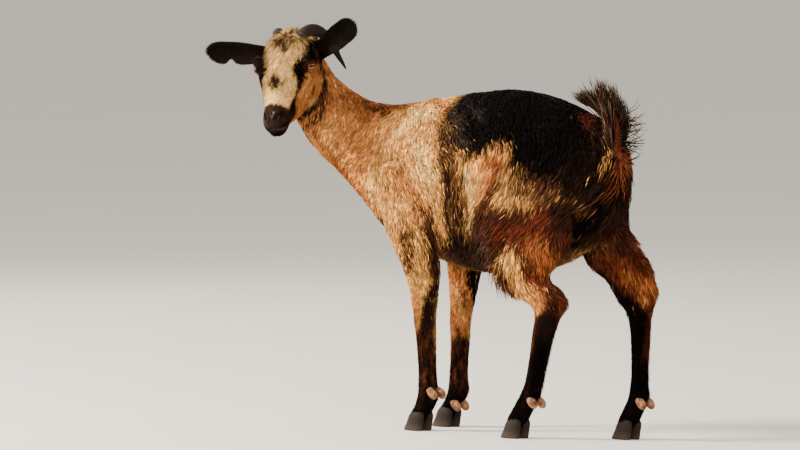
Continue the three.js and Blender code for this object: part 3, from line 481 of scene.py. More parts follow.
def frame_shift():
    """From the table's millimetres to the frame's, found at the corner of one claw."""
    x, y = LEG_PATH["fore_left"][-2][0], -(LEG_PATH["fore_left"][-2][1] + HOOF["apart"])
    rings = [splayed(section(row, 12), x, y, LEFT) for row in claw_rows(x, y)]
    low = np.vstack(rings).min(0)
    return np.array(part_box("fore_hoof_left_outer")[0]) / MM - low


SHIFT = frame_shift()


def placed(points):
    """Points of the tables as metres in the frame."""
    return (np.asarray(points, float) + SHIFT) * MM


def unplaced(points):
    """Metres in the frame as millimetres of the tables."""
    return np.asarray(points, float) / MM - SHIFT


def loft(bm, rings):
    """Bridges rings of points into one closed skin."""
    loops = []
    for points in rings:
        verts = bmesh.ops.create_circle(bm, segments=len(points), radius=1.0)["verts"]
        for vert, point in zip(verts, points):
            vert.co = point
        loops.append((verts, list({edge for vert in verts for edge in vert.link_edges})))
    for (_, low), (_, high) in zip(loops, loops[1:]):
        bmesh.ops.bridge_loops(bm, edges=low + high)
    for verts in (loops[0][0], loops[-1][0]):
        bmesh.ops.contextual_create(bm, geom=verts)


def object_from(name, bm):
    """A smooth-shaded object in the scene from a bmesh, with its faces outwards."""
    bmesh.ops.recalc_face_normals(bm, faces=bm.faces)
    mesh = bpy.data.meshes.new(name)
    bm.to_mesh(mesh)
    bm.free()
    mesh.shade_smooth()
    obj = bpy.data.objects.new(name, mesh)
    bpy.context.scene.collection.objects.link(obj)
    return obj


def apply_modifiers(obj):
    """Makes what the object's modifiers do part of its mesh."""
    graph = bpy.context.evaluated_depsgraph_get()
    mesh = bpy.data.meshes.new_from_object(obj.evaluated_get(graph))
    obj.modifiers.clear()
    old = obj.data
    obj.data = mesh
    bpy.data.meshes.remove(old)
    mesh.shade_smooth()


def stored(items, name, width, kind):
    """What a mesh stores for each of its items, a row for each."""
    out = np.empty(len(items) * width, kind)
    items.foreach_get(name, out)
    return out.reshape(-1, width)


def coordinates(mesh):
    """The mesh's vertices as an array."""
    return stored(mesh.vertices, "co", 3, np.float32).astype(float)


def set_coordinates(mesh, points):
    """Moves the mesh's vertices."""
    mesh.vertices.foreach_set("co", np.ascontiguousarray(points, np.float32).ravel())
    mesh.update()


def edge_pairs(mesh):
    """The mesh's edges as pairs of vertex numbers."""
    return stored(mesh.edges, "vertices", 2, np.int32)


def triangle_corners(mesh):
    """The vertex numbers of the mesh's triangles."""
    mesh.calc_loop_triangles()
    return stored(mesh.loop_triangles, "vertices", 3, np.int32)


def vertex_normals(mesh):
    """The mesh's vertex normals as an array."""
    return stored(mesh.vertex_normals, "vector", 3, np.float32).astype(float)


def blurred(values, pairs, times, weight=0.5):
    """Values at the vertices drawn towards those of their neighbours."""
    flat = values.reshape(len(values), -1).copy()
    count = np.maximum(np.bincount(pairs.ravel(), minlength=len(flat)), 1)
    for _ in range(times):
        for c in range(flat.shape[1]):
            column = flat[:, c]
            total = np.bincount(pairs[:, 0], column[pairs[:, 1]], len(flat))
            total += np.bincount(pairs[:, 1], column[pairs[:, 0]], len(flat))
            flat[:, c] = column + weight * (total / count - column)
    return flat.reshape(values.shape)


def relaxed(points, pairs, times):
    """Points smoothed without drawing the form in."""
    for _ in range(times):
        points = blurred(points, pairs, 1, 0.5)
        points = blurred(points, pairs, 1, -0.52)
    return points


# ================================================================ numbers that vary over the goat

def ease(value, low, high):
    """From 0 at low to 1 at high, softly."""
    t = np.clip((np.asarray(value, float) - low) / (high - low), 0, 1)
    return t * t * (3 - 2 * t)


def within(value, low, high, soft):
    """Near 1 between low and high, with soft edges."""
    return ease(value, low - soft, low + soft) * (1 - ease(value, high - soft, high + soft))


def blob(points, centre, size):
    """1 at a centre, falling to 0 at about the given sizes."""
    far = ((points - np.array(centre)) / np.array(size)) ** 2
    return np.exp(-1.5 * far.sum(-1))


# What shuffles the noise: how far apart two seeds look it up, and how its lattice is scattered.
NOISE_STEP = 71.3
NOISE_WAYS = np.array([127.1, 311.7, 74.7])
NOISE_TURN = 1.7
NOISE_GAIN = 43758.5453


def noise(points, scale, seed):
    """Smooth noise from 0 to 1 with lumps of about `scale`."""
    cell = np.asarray(points, float) / scale + NOISE_STEP * (seed + 1)
    low = np.floor(cell)
    part = cell - low
    part = part * part * (3 - 2 * part)
    total = np.zeros(len(cell))
    for corner in np.ndindex(2, 2, 2):
        weight = np.prod(np.where(corner, part, 1 - part), axis=1)
        lattice = (low + corner) @ NOISE_WAYS
        total += weight * np.modf(np.abs(np.sin(lattice + NOISE_TURN * seed) * NOISE_GAIN))[0]
    return total


def mix(first, second, share):
    """Colours or vectors mixed by a share at each point. The second may be a colour's name."""
    second = COLOURS[second] if isinstance(second, str) else second
    return first + (second - first) * np.asarray(share)[:, None]


def linear(red, green, blue):
    """A screen colour, from 0 to 255, as linear light."""
    value = np.array([red, green, blue]) / 255
    return np.where(value <= 0.04045, value / 12.92, ((value + 0.055) / 1.055) ** 2.4)


# pale is a painted highlight, laid on the nose pad.
COLOURS = {
    "cream": linear(234, 192, 122), "gold": linear(214, 156, 86), "sand": linear(182, 136, 84),
    "tan": linear(188, 120, 66), "orange": linear(156, 88, 46), "rust": linear(88, 38, 22),
    "brown": linear(66, 36, 22), "umber": linear(122, 64, 36), "dark": linear(32, 17, 11),
    "black": linear(7, 4, 3), "grey": linear(72, 58, 50), "olive": linear(104, 82, 56),
    "nose": linear(42, 25, 17), "pale": linear(150, 118, 92), "lid": linear(118, 70, 48),
}


def painted(colour, count):
    """One colour for a number of points."""
    return np.tile(COLOURS[colour], (count, 1))


def view_axes():
    """The markings' plane: the ways right, up and out of it."""
    turn, rise = radians(VIEW_TURN), radians(VIEW_RISE)
    right = np.array([cos(turn), sin(turn), 0])
    out = np.array([sin(turn) * cos(rise), -cos(turn) * cos(rise), sin(rise)])
    return right, np.cross(out, right), out


def seen(points, folded=False):
    """Places in the markings' plane, with the right side of the body laid over the left if folded."""
    points = np.array(points, float)
    if folded:
        points[:, 1] = -np.abs(points[:, 1])
    right, up, _ = view_axes()
    return np.stack([points @ right, points @ up], 1)


def hair_way(points, normals):
    """Which way hair lies by the table, along the surface, and how far the table holds there."""
    fold = np.where(points[:, 1] > 0, -1.0, 1.0)
    normals = normals.copy()
    normals[:, 1] *= fold
    places = seen(points, True)
    right, up, out = view_axes()
    total, weights = np.zeros((len(points), 2)), np.zeros(len(points))
    for x, y, across, along in HAIR_FLOW:
        weight = 1 / (((places - [x, y]) ** 2).sum(1) + 400) ** 2
        total += weight[:, None] * [across, along]
        weights += weight
    plane = unit(total / weights[:, None])
    facing = normals @ out
    run = plane[:, :1] * right + plane[:, 1:] * up
    run -= ((run * normals).sum(1) / np.maximum(facing, 0.25))[:, None] * out
    run[:, 1] *= fold
    return unit(run), ease(facing, 0.05, 0.4)


def off_segment(points, start, end):
    """How far points are from a straight line, and at which share of it they are nearest."""
    run = end - start
    away = points - start
    t = np.clip(away @ run / run.dot(run), 0, 1)
    return np.linalg.norm(away - t[:, None] * run, axis=1), t


def off_line(places, line):
    """How far each place is outside a line that has a half width at each of its points."""
    best = np.full(len(places), 1e9)
    line = np.array(line, float)
    for start, end in zip(line[:-1], line[1:]):
        far, t = off_segment(places, start[:2], end[:2])
        best = np.minimum(best, far - start[2] - t * (end[2] - start[2]))
    return best


def off_outline(places, outline):
    """How far each place is outside a closed outline, less than 0 inside it."""
    corners = np.array(outline, float)
    best = np.full(len(places), 1e9)
    inside = np.zeros(len(places), bool)
    for start, end in zip(corners, np.roll(corners, -1, axis=0)):
        best = np.minimum(best, off_segment(places, start, end)[0])
        crosses = (start[1] > places[:, 1]) != (end[1] > places[:, 1])
        rise = end[1] - start[1] if end[1] != start[1] else 1e-9
        inside ^= crosses & (places[:, 0] < start[0] + (places[:, 1] - start[1]) * (end - start)[0] / rise)
    return np.where(inside, -best, best)


def marked(out, places, marks, ragged, share=1.0):
    """Colours with a table of marks painted over them, their edges broken up by `ragged` from -1 to 1."""
    for colour, soft, *line in marks:
        far = off_line(places, line) + ragged * soft * 0.8
        over = (1 - ease(far, -soft * 0.6, soft * 0.6)) * share
        out = mix(out, colour, over)
    return out


def hair_noise(points, scale, seed):
    """Noise from -1 to 1, drawn out along the way that most hair hangs."""
    fine = noise(points * [1, 1, 0.3], scale, seed)
    return 2 * (0.65 * fine + 0.35 * noise(points * [1, 1, 0.4], scale * 0.45, seed + 1)) - 1


# The shade round the cheek: where it is full and ends in shares of the skull's half sizes, where it begins
# and ends along the head, how fast it fades behind, and how far under the poll and forward it is full.
CHEEK_SHADE = {
    "full": 1.12, "end": 1.3, "back": 30, "front": 120, "fade": 60, "under": 20, "ahead": (-5, 25),
}


def cheek_shade(points):
    """Where the neck lies in the shade of the cheek and the jaw."""
    local = in_head(points)
    skull = np.array(SKULL, float)
    f, wide, n = local[:, 0], np.abs(local[:, 1]), local[:, 2]
    back = CHEEK_SHADE["back"]
    at = np.clip(f, back, CHEEK_SHADE["front"])
    middle, down, side = (np.interp(at, skull[:, 0], skull[:, k]) for k in (2, 6, 7))
    reach = np.hypot(wide / side, (n - middle) / down) + np.maximum(back - f, 0) / CHEEK_SHADE["fade"]
    under = ease(-n, 0, CHEEK_SHADE["under"]) * ease(f, *CHEEK_SHADE["ahead"])
    return (1 - ease(reach, CHEEK_SHADE["full"], CHEEK_SHADE["end"])) * under


def trunk_colour(points, normals):
    """The coat's colour on the trunk and the neck."""
    x, z = points[:, 0], points[:, 2]
    streak = noise(points * [1, 1, 0.35], 14, 3)
    ragged = hair_noise(points, 15, 61)
    both = seen(points, True)
    out = mix(painted("gold", len(x)), "tan", 0.25 + 0.25 * streak)
    neck = ease(-x, 55, 150)
    golden = mix(painted("tan", len(x)), "gold", 0.15 + 0.55 * ease(streak, 0.3, 0.8))
    out = mix(out, golden, neck)
    throat = ease(-normals[:, 2] - 0.6 * normals[:, 0], 0.5, 1.0)
    warm = np.maximum(throat * 0.2, ease(0.6 - streak, 0.1, 0.4) * 0.4)
    out = mix(out, "orange", neck * warm)
    nape = neck * ease(normals[:, 2] * 0.8 + normals[:, 0] * 0.5, 0.5, 0.95)
    out = mix(out, "umber", nape * ease(streak, 0.2, 0.6) * 0.8)
    out = marked(out, both, FLANK_MARKS, ragged)
    mottle = ease(hair_noise(points, 7, 65), -0.5, 0.0)
    out = marked(out, both, MOTTLED_MARKS, ragged, 0.4 + 0.55 * mottle)
    out = marked(out, both, BELLY_MARKS, ragged)
    # the underside, and the flank behind the marks
    belly = (1 - ease(z, 330, 370)) * ease(x, 20, 70)
    out = mix(out, mix(painted("brown", len(x)), "dark", streak), belly * 0.8)
    # the black saddle, with the rump behind it
    out = mix(out, "brown", ease(x, 400, 440) * (1 - ease(z, 420, 450)))
    over = 1 - ease(off_outline(both, SADDLE_EDGE) + 14 * ragged, -9, 9)
    over = np.maximum(over, ease(z, 545, 575) * within(x, 60, 480, 20))
    out = mix(out, "black", over)
    out = marked(out, both, GREY_MARKS, ragged, 0.5)
    rearward = ease(normals[:, 0], 0.3, 0.6) * ease(x, 385, 420)
    out = marked(out, both, RUMP_MARKS, ragged * 0.6, ease(x, 180, 260) * (1 - rearward))
    # painted shade on the rump's surfaces that face backwards, away from the light
    out = mix(out, "dark", rearward * 0.7)
    out = marked(out, seen(points), REAR_MARKS, ragged * 0.6, rearward)
    return mix(out, "dark", cheek_shade(points))


def hind_colour(points, name):
    """The coat's colour on a hind leg."""
    ragged = hair_noise(points, 12, 71)
    out = mix(painted("rust", len(points)), "orange", ease(ragged, 0.0, 0.7) * 0.4)
    out = mix(out, "brown", ease(noise(points * [1, 1, 0.4], 22, 12), 0.4, 0.75) * 0.7)
    out = marked(out, seen(points), LEG_MARKS[name], ragged)
    low = 1 - ease(points[:, 2], 170, 240)
    return mix(out, "brown", low * ease(ragged, 0.25, 0.8) * 0.5)


def fore_colour(points, name):
    """The coat's colour on a foreleg."""
    ragged = hair_noise(points, 10, 81)
    out = mix(painted("gold", len(points)), "tan", ease(ragged, -0.2, 0.6) * 0.7)
    out = marked(out, seen(points), LEG_MARKS[name], ragged)
    low = 1 - ease(points[:, 2], 150, 215)
    out = mix(out, "brown", low * ease(ragged, 0.2, 0.8) * 0.6)
    flecks = ease(noise(points * [1, 1, 0.35], 4, 83), 0.5, 0.7)
    return mix(out, "umber", low * ease(points[:, 2], 60, 90) * flecks * 0.6)


# Markings of the face, in the plane seen from the front of its left side, from the poll. Those of the cheek
# and the brow, the blaze and the stripe are laid over to the right side too.
CHEEK_MARKS = [
    ("gold", 4, [37.6, -80.3, 3.5], [25.8, -90.2, 3.9], [15.9, -106, 3.9], [9, -123.7, 3.2]),
    ("gold", 5, [24.8, -113.9, 3.9], [35.6, -127.7, 5.5], [24.8, -141.5, 4.7]),
    ("cream", 4, [29.7, -115.8, 1.2], [39.6, -127.7, 2], [35.6, -137.5, 1.2]),
    ("sand", 3, [49, -82.3, 1.6], [51.4, -102, 2.4], [47.5, -121.8, 2.4], [42.5, -133.6, 1.6]),
    ("rust", 4, [40.6, -88.2, 1.4], [37.6, -106, 2], [30.7, -119.8, 1.8], [22.8, -139.5, 1.8],
        [17.9, -153.3, 1.6]),
    ("orange", 4, [19.9, -94.2, 1.2], [12, -113.9, 1.8], [6.1, -131.6, 2], [5.1, -151.3, 2]),
    ("brown", 3, [54.4, -74.4, 1], [55.7, -102, 1.2], [54.4, -127.7, 1.2]),
    ("gold", 5, [46.5, -86.3, 2.4], [48.5, -102, 3.2], [44.5, -121.8, 4.3], [33.7, -137.5, 4.7]),
    ("cream", 4, [37.6, -113.9, 1.2], [42.5, -125.7, 1.6], [36.6, -137.5, 1.2]),
]
BROW_MARKS = [
    ("black", 3, [27.7, -21.2, 7.9], [43.5, -29.1, 7.9], [49.4, -42.9, 7.1], [47.5, -52.7, 5.9],
        [31.7, -53.1, 5.9]),
    ("black", 3, [27.7, -29.1, 7.9], [42.5, -33, 7.1], [48.5, -44.9, 5.1], [35.6, -50.8, 5.9],
        [19.9, -56.7, 5.9]),
    ("brown", 3, [33.7, -29.1, 2], [39.6, -38.9, 2.4], [42.5, -46.8, 1.6]),
    ("brown", 2.5, [20.8, -63.6, 4.3], [27.7, -57.7, 2.8], [38.6, -54.3, 2.4], [47.5, -58.3, 2.4]),
    ("dark", 2, [19.9, -70.5, 2.8], [29.7, -73.4, 1.8], [39.6, -74, 1.8], [49, -68.5, 2], [49.8, -58.7, 2]),
    ("umber", 2, [27.7, -78.4, 0.8], [37.6, -80.3, 1.2], [46.5, -77.4, 1]),
    ("sand", 3, [4.1, -27.1, 1.2], [-1.8, -40.9, 1.4], [-7.8, -52.7, 1.2]),
    ("sand", 2, [0.1, -90.2, 1.2], [-1.8, -102, 1.6], [-5.8, -117.8, 1.4]),
]
# The marks of the crown and the muzzle lie across the middle of the face and aren't laid over.
CROWN_MARKS = [
    ("brown", 4, [-33.4, -5.4, 5.1], [-24.5, -15.7, 7.9], [-15.6, -27.1, 5.5], [-15.6, -36, 2]),
    ("brown", 4, [-13.7, -11.3, 5.9], [-3.8, -10.3, 4.7], [-0.8, -17.2, 2.8]),
    ("dark", 4, [-33.4, -2.5, 4.3], [-23.5, -9.4, 4.3], [-15.6, -18.2, 3.5]),
    ("brown", 4, [13.9, -4.4, 1.6], [27.7, -7.4, 2.8], [39.6, -10.3, 2.8]),
    ("dark", 4, [-51.1, -20.2, 2], [-56.1, -29.1, 2.4], [-58, -38.9, 2.4]),
    ("brown", 4, [-33.4, -82.3, 6.7], [-31.4, -91.2, 9.9], [-33.4, -101.1, 8.3]),
    ("dark", 3, [-33.4, -84.7, 3.2], [-31.8, -92.2, 6.3], [-34.2, -100.9, 4.3]),
    ("brown", 2, [-51.1, -142.5, 2.8], [-33.4, -138.3, 2.4], [-16.6, -142.5, 2.8]),
    ("dark", 2, [-12.7, -141.5, 2], [-8.7, -149.4, 3.5], [-8.7, -158.2, 3.5]),
]
MUZZLE_MARKS = [
    ("nose", 3, [-49.2, -147.4, 4.7], [-33.4, -146.4, 6.7], [-18.6, -148.4, 5.1]),
    ("nose", 2.5, [-43.2, -169.1, 3.5], [-31.4, -168.1, 4.7], [-17.6, -164.2, 3.9]),
    ("brown", 3, [-33.4, -168.1, 1], [-23.5, -167.1, 1.2], [-17.6, -164.2, 1]),
    # painted shade in the nostrils
    ("black", 1.2, [-49.6, -152.3, 1.4], [-45.2, -155.7, 2], [-41.3, -158.8, 1.2]),
    ("black", 1.2, [-18.6, -148.4, 1.6], [-23.1, -153.3, 2.6], [-30.2, -158.4, 1.6]),
    # painted highlight down the middle of the nose pad
    ("pale", 2, [-36.9, -149.4, 0.6], [-35.4, -155.3, 1.2], [-36.1, -162.2, 0.6]),
    ("black", 3, [-35.4, -190.8, 5.9], [-19.6, -187.8, 6.7], [-7.8, -180.9, 5.1], [0.1, -173, 3.5]),
    ("grey", 1.2, [-43.2, -182.1, 0.6], [-23.5, -181.7, 1.2], [-11.7, -176.2, 0.8]),
    # painted shade along the crease of the mouth
    ("black", 1.2, [-47.2, -176.6, 1.2], [-39.3, -178.2, 1.2], [-23.5, -177, 1.4], [-11.7, -170.7, 1.6],
        [-1.8, -161.2, 2]),
]
BLAZE_EDGE = [
    [-51.1, 8.4], [-3.8, 6.4], [27.7, 0.5], [36.6, -8.4], [29.7, -21.2], [20.8, -29.1], [18.9, -40.9],
    [6.1, -50.8], [0.1, -64.6], [-1.4, -74.4], [4.5, -82.3], [8, -92.2], [5.7, -106], [1.7, -119.8],
    [-3.4, -127.7], [-6.2, -137.5], [-13.7, -144.4], [-20.6, -137.5], [-43.2, -136.7], [-59, -136.7],
]
STRIPE_EDGE = [
    [27.7, -23.2], [33.7, -15.7], [51.4, -18.2], [59.3, -33], [57.3, -48.8], [50.4, -56.7], [37.6, -58.7],
    [27.7, -66.5], [24.8, -76.4], [20.3, -84.3], [14.9, -98.1], [9, -109.9], [5.1, -119.8], [3.7, -131.6],
    [2.5, -147.4], [1.7, -163.2], [-11.7, -171.1], [-8.7, -153.3], [-5.4, -137.5], [-2.8, -127.7],
    [1.7, -119.8], [5.7, -106], [8, -92.2], [4.5, -82.3], [-1.4, -74.4], [0.1, -64.6], [6.1, -50.8],
    [18.9, -40.9], [20.8, -29.1],
]
# The ways right and down in that plane, in the head's frame.
FACE_RIGHT = [-0.266, 0.924, -0.274]
FACE_DOWN = [0.75, 0.02, -0.661]


def head_colour(points):
    """The coat's colour on the head."""
    local = in_head(points)
    f, n = local[:, 0], local[:, 2]
    folded = folded_over(local)
    places = np.stack([folded @ FACE_RIGHT, -(folded @ FACE_DOWN)], 1)
    streak = noise(local * [0.5, 1, 1], 6, 31)
    fine = 2 * noise(local * [0.4, 1, 1], 3.5, 33) - 1
    out = mix(painted("tan", len(f)), "orange", ease(noise(points, 16, 32), 0.35, 0.7) * 0.6)
    out = mix(out, "gold", ease(streak, 0.5, 0.8) * 0.6)
    out = marked(out, places, CHEEK_MARKS, fine)
    # painted shade under the jaw
    throat = ease(-n, 86, 100) * (1 - ease(f, 96, 126))
    out = mix(out, "dark", throat * 0.9)
    above = ease(n, -60, -40)
    dark = 1 - ease(off_outline(places, STRIPE_EDGE) + 1.8 * fine, 0.2, 2.6)
    out = mix(out, "black", dark * ease(n, -74, -64))
    out = mix(out, "black", blob(folded, [20, 46, -22], [24, 16, 20]) ** 0.5)
    pale = 1 - ease(off_outline(places, BLAZE_EDGE) + 2.2 * fine, -1.5, 1.5)
    pale = pale * above * ease(f + 3 * fine, -10, -2)
    out = mix(out, mix(painted("cream", len(f)), "sand", ease(streak, 0.5, 0.85) * 0.6), pale)
    out = marked(out, places, BROW_MARKS, 1.5 * fine, ease(n, -76, -62))
    lids = ease(-local[:, 1], 15, 30) * blob(folded, [74, 48, -10], [34, 24, 30]) ** 0.5
    out = mix(out, "dark", lids * 0.95)
    across = np.stack([local @ FACE_RIGHT, -(local @ FACE_DOWN)], 1)
    out = marked(out, across, CROWN_MARKS, 2.4 * (2 * noise(local * [0.3, 1, 1], 2.4, 35) - 1), above)
    back = 1 - ease(f + 2 * fine, -14, -2)
    out = mix(out, "brown", back * ease(n, -60, -30) * 0.8)
    # the dark muzzle, lips and chin
    nose = ease(f + 1.5 * fine + 0.1 * (-20 - n), 160, 165)
    muzzle = np.maximum(nose, ease(f - 0.5 * (n + 58), 158, 166))
    out = mix(out, "dark", muzzle)
    return marked(out, across, MUZZLE_MARKS, 0.5 * fine, muzzle)


def tail_colour(points, normals):
    """The colour of the dock: bare brown on its underside."""
    bald = ease(normals[:, 0], 0.3, 0.6) * (0.4 + 0.6 * noise(points * [1, 1, 0.3], 6, 91))
    return mix(painted("dark", len(points)), "rust", bald)


REGIONS = ["trunk", "neck", "head", "tail", "hind_left", "hind_right", "fore_left", "fore_right"]


def coat_colour(points, normals, region):
    """The markings, for skin and coat alike."""
    out = np.zeros((len(points), 3))
    for k, name in enumerate(REGIONS):
        here = region == k
        if not here.any():
            continue
        p, n = points[here], normals[here]
        if name in ("trunk", "neck"):
            out[here] = trunk_colour(p, n)
        elif name == "head":
            out[here] = head_colour(p)
        elif name == "tail":
            out[here] = tail_colour(p, n)
        else:
            hind = name.startswith("hind")
            colour = hind_colour(p, name) if hind else fore_colour(p, name)
            blend = ease(p[:, 2], 350, 405) if hind else ease(p[:, 2], 375, 415)
            out[here] = mix(colour, trunk_colour(p, n), blend)
    return out


# ================================================================ skin

def body_rings():
    """The rings of each closed form that the skin is fused from, with the name of its region."""
    trunk_depth = [COAT_DEPTH["trunk"]] * NECK_FROM + [COAT_DEPTH["neck"]] * (len(TRUNK) - NECK_FROM)
    forms = [("trunk", thinned(TRUNK, trunk_depth), 40, 4)]
    for name in LEG_PATH:
        rows = leg_rows(name)
        thigh = THIGH_STATIONS if name.startswith("hind") else 0
        depths = [COAT_DEPTH["thigh" if i < thigh else "leg"] for i in range(len(rows))]
        forms.append((name, thinned(rows, depths), 28, 4))
    forms.append(("tail", thinned(TAIL, [COAT_DEPTH["tail"]] * len(TAIL)), 20, 4))
    forms.append(("head", thinned(SKULL, [COAT_DEPTH["head"]] * len(SKULL)), 40, 5))
    out = []
    for name, rows, sides, steps in forms:
        rings = [section(row, sides) for row in smooth_rows(rows, steps)]
        if name == "head":
            rings = [in_body(ring) for ring in rings]
        out.append((name, rings))
    return out


def nearest_forms(points, forms):
    """For each point its region, its share along that form and round it, and the way the form runs."""
    region, along, around, ways, spots = [], [], [], [], []
    for name, rings in forms:
        centres = np.array([ring.mean(0) for ring in rings])
        runs = unit(np.gradient(centres, axis=0))
        for i, ring in enumerate(rings):
            share = i / (len(rings) - 1)
            label = "neck" if name == "trunk" and share > NECK_FROM / (len(TRUNK) - 1) else name
            spots.append(ring)
            region += [REGIONS.index(label)] * len(ring)
            along += [share] * len(ring)
            around += list(np.arange(len(ring)) / len(ring))
            ways += [runs[i]] * len(ring)
    spots = np.vstack(spots)
    tree = KDTree(len(spots))
    for i, spot in enumerate(spots):
        tree.insert(spot, i)
    tree.balance()
    nearest = np.array([tree.find(point)[1] for point in points])
    return (np.array(region)[nearest], np.array(along)[nearest], np.array(around)[nearest],
            np.array(ways)[nearest])


def split_faces(mesh, chosen):
    """Cuts each face whose every corner is chosen into four."""
    bm = bmesh.new()
    bm.from_mesh(mesh)
    bm.verts.ensure_lookup_table()
    edges = [edge for edge in bm.edges if chosen[edge.verts[0].index] and chosen[edge.verts[1].index]]
    bmesh.ops.subdivide_edges(bm, edges=edges, cuts=1, use_grid_fill=True)
    bm.to_mesh(mesh)
    bm.free()


def mirrored(vector, sign):
    """A vector of the left side of the head, for the side of a sign of Y in the body's frame."""
    return np.array([vector[0], -sign * vector[1], vector[2]], float)


def eye_axes(sign):
    """An eye's centre, its look, the line of its lids and what is across them, in the head's frame."""
    look = unit(mirrored(EYE_LOOK, sign))
    fissure = square_to(mirrored(EYE_FISSURE, sign), look)
    return mirrored(EYE["at"], sign), look, fissure, np.cross(look, fissure)


def lid_place(local, sign):
    """How far and which way points are from an eye, how far in front, and where along and over its lids."""
    centre, look, fissure, across = eye_axes(sign)
    across = across if across[2] > 0 else -across
    away = local - centre
    way = unit(away)
    facing = np.maximum(way @ look, 0.05)
    along = way @ fissure / facing * EYE["radius"]
    above = way @ across / facing * EYE["radius"]
    return np.linalg.norm(away, axis=1), way, way @ look, along, above


def lids(local):
    """The head's points with lids over each eyeball, open in a lens. Also how near each is to their rim."""
    rim = np.zeros(len(local))
    for sign in HANDS.values():
        centre = eye_axes(sign)[0]
        far, way, facing, along, above = lid_place(local, sign)
        reached = far < LID["reach"]
        tall = np.where(above > 0, EYE["tall"] * LID["upper"], EYE["tall"])
        open_here = 1 - (along / EYE["long"]) ** 2 - np.abs(above) / tall
        closed = np.maximum(-open_here, 0)
        ahead = ease(facing, 0.15, 0.35)
        dome = EYE["radius"] + EYE["lid"] + np.exp(-(closed * 3) ** 2) * ahead
        soft = np.clip(0.5 + (dome - far) / LID["blend"], 0, 1)
        radius = far + (dome - far) * soft + LID["blend"] * soft * (1 - soft) * 0.5
        near = ahead * (1 - ease(np.hypot(along, above), 12, 19)) * reached
        radius = radius + (dome - radius) * near
        gap = (facing > 0.3) * reached * ease(open_here, -0.02, 0.1)
        radius = radius + (EYE["radius"] - LID["sunk"] - radius) * gap
        fold = ahead * reached * np.exp(-((closed - 0.75) * 3.2) ** 2) * (above > 0)
        radius = radius - LID["fold"] * fold
        local = np.where((far < LID["end"])[:, None], centre + way * radius[:, None], local)
        rim = np.maximum(rim, (facing > 0.2) * reached * np.exp(-(closed * 2.4) ** 2))
    return local, rim


def along_path(points, path):
    """How far each point is from a broken line."""
    best = np.full(len(points), 1e9)
    for start, end in zip(np.array(path[:-1], float), np.array(path[1:], float)):
        best = np.minimum(best, off_segment(points, start, end)[0])
    return best


def on_either_side(points, path):
    """How far each point is from a broken line or from its mirror image."""
    return np.minimum(along_path(points, path), along_path(points * [1, -1, 1], path))


MOUTH = [[156, -29, -52], [166, -26, -56], [177, -20, -60], [188, -12, -62], [196, 0, -62]]
NOSTRIL = [[177, 17, -24], [183, 13, -28], [188, 8, -33]]
PHILTRUM = [[188, 0, -32], [197, 0, -44], [199, 0, -58]]
CHEEK_FOLD = [[97, 47, -24], [112, 42, -34], [128, 35, -44]]
LOWER_LIP, UPPER_LIP = 6, 7  # how far below and above the mouth they are fullest


def face_relief(local):
    """The mouth, nostrils, lips, brows and cheeks: how far the skin is moved along its normals."""
    mouth = on_either_side(local, MOUTH)
    out = -3.0 * np.exp(-(mouth / 2.2) ** 2)
    lip = on_either_side(local + [0, 0, LOWER_LIP], MOUTH)
    upper = on_either_side(local - [0, 0, UPPER_LIP], MOUTH)
    out += 1.8 * np.exp(-(lip / 4.5) ** 2) + 1.6 * np.exp(-(upper / 5) ** 2)
    nostril = on_either_side(local, NOSTRIL)
    out -= 3.5 * np.exp(-(nostril / 2.4) ** 4)
    out += 1.8 * np.exp(-((nostril - 5.0) / 2.4) ** 2)
    philtrum = along_path(local, PHILTRUM)
    out -= 1.8 * np.exp(-(philtrum / 2.0) ** 2)
    folded = folded_over(local)
    out += 2.2 * blob(folded, [72, 46, 9], [16, 12, 9])
    out += 5.0 * blob(folded, [84, 46, -92], [34, 22, 26])
    out -= 2.2 * blob(folded, [118, 38, -34], [20, 10, 9])
    out -= 2.0 * blob(folded, [98, 26, 2], [12, 9, 12])
    out -= np.exp(-(along_path(folded, CHEEK_FOLD) / 2.6) ** 2)
    out += 2.0 * blob(folded, [180, 14, -80], [14, 16, 10])
    return out


def skin_arrays(mesh):
    """What the coat needs to know at each vertex of the skin, kept for the other operators."""
    points = unplaced(coordinates(mesh))
    normals = vertex_normals(mesh)
    region, along, around, ways = nearest_forms(points, made["forms"])
    made["skin"] = {
        "points": points, "normals": normals, "region": region, "along": along, "around": around,
        "ways": ways, "pairs": edge_pairs(mesh), "triangles": triangle_corners(mesh),
    }
    return made["skin"]


def set_colours(mesh, colours):
    """Stores the coat's colour at each vertex."""
    layer = mesh.color_attributes.new("Coat", "FLOAT_COLOR", "POINT")
    full = np.ones((len(colours), 4), np.float32)
    full[:, :3] = colours
    layer.data.foreach_set("color", full.ravel())


def set_floats(mesh, values, name):
    """Stores a number at each vertex."""
    layer = mesh.attributes.new(name, "FLOAT", "POINT")
    layer.data.foreach_set("value", np.ascontiguousarray(values, np.float32))


def bare_share(points, region, rim):
    """Where the skin shows without hair: the nose, the lips and the lids."""
    local = in_head(points)
    on_head = region == REGIONS.index("head")
    nose = ease(local[:, 0], 178, 184) * (1 - ease(-local[:, 2], 40, 48))
    nose = nose * (1 - ease(np.abs(local[:, 1]), 15, 20))
    mouth = np.exp(-(on_either_side(local, MOUTH) / 4) ** 2)
    return np.maximum(on_head * np.maximum(nose, mouth), rim)


# Where the skin's faces are split, in the head's frame: past a back end, within a half width and above a
# height; then once more round the eyes and on the muzzle.
FINE_HEAD = {"back": -30, "side": 80, "under": -125}
FINE_EYE = 27
FINE_MUZZLE = {"back": 140, "side": 60}


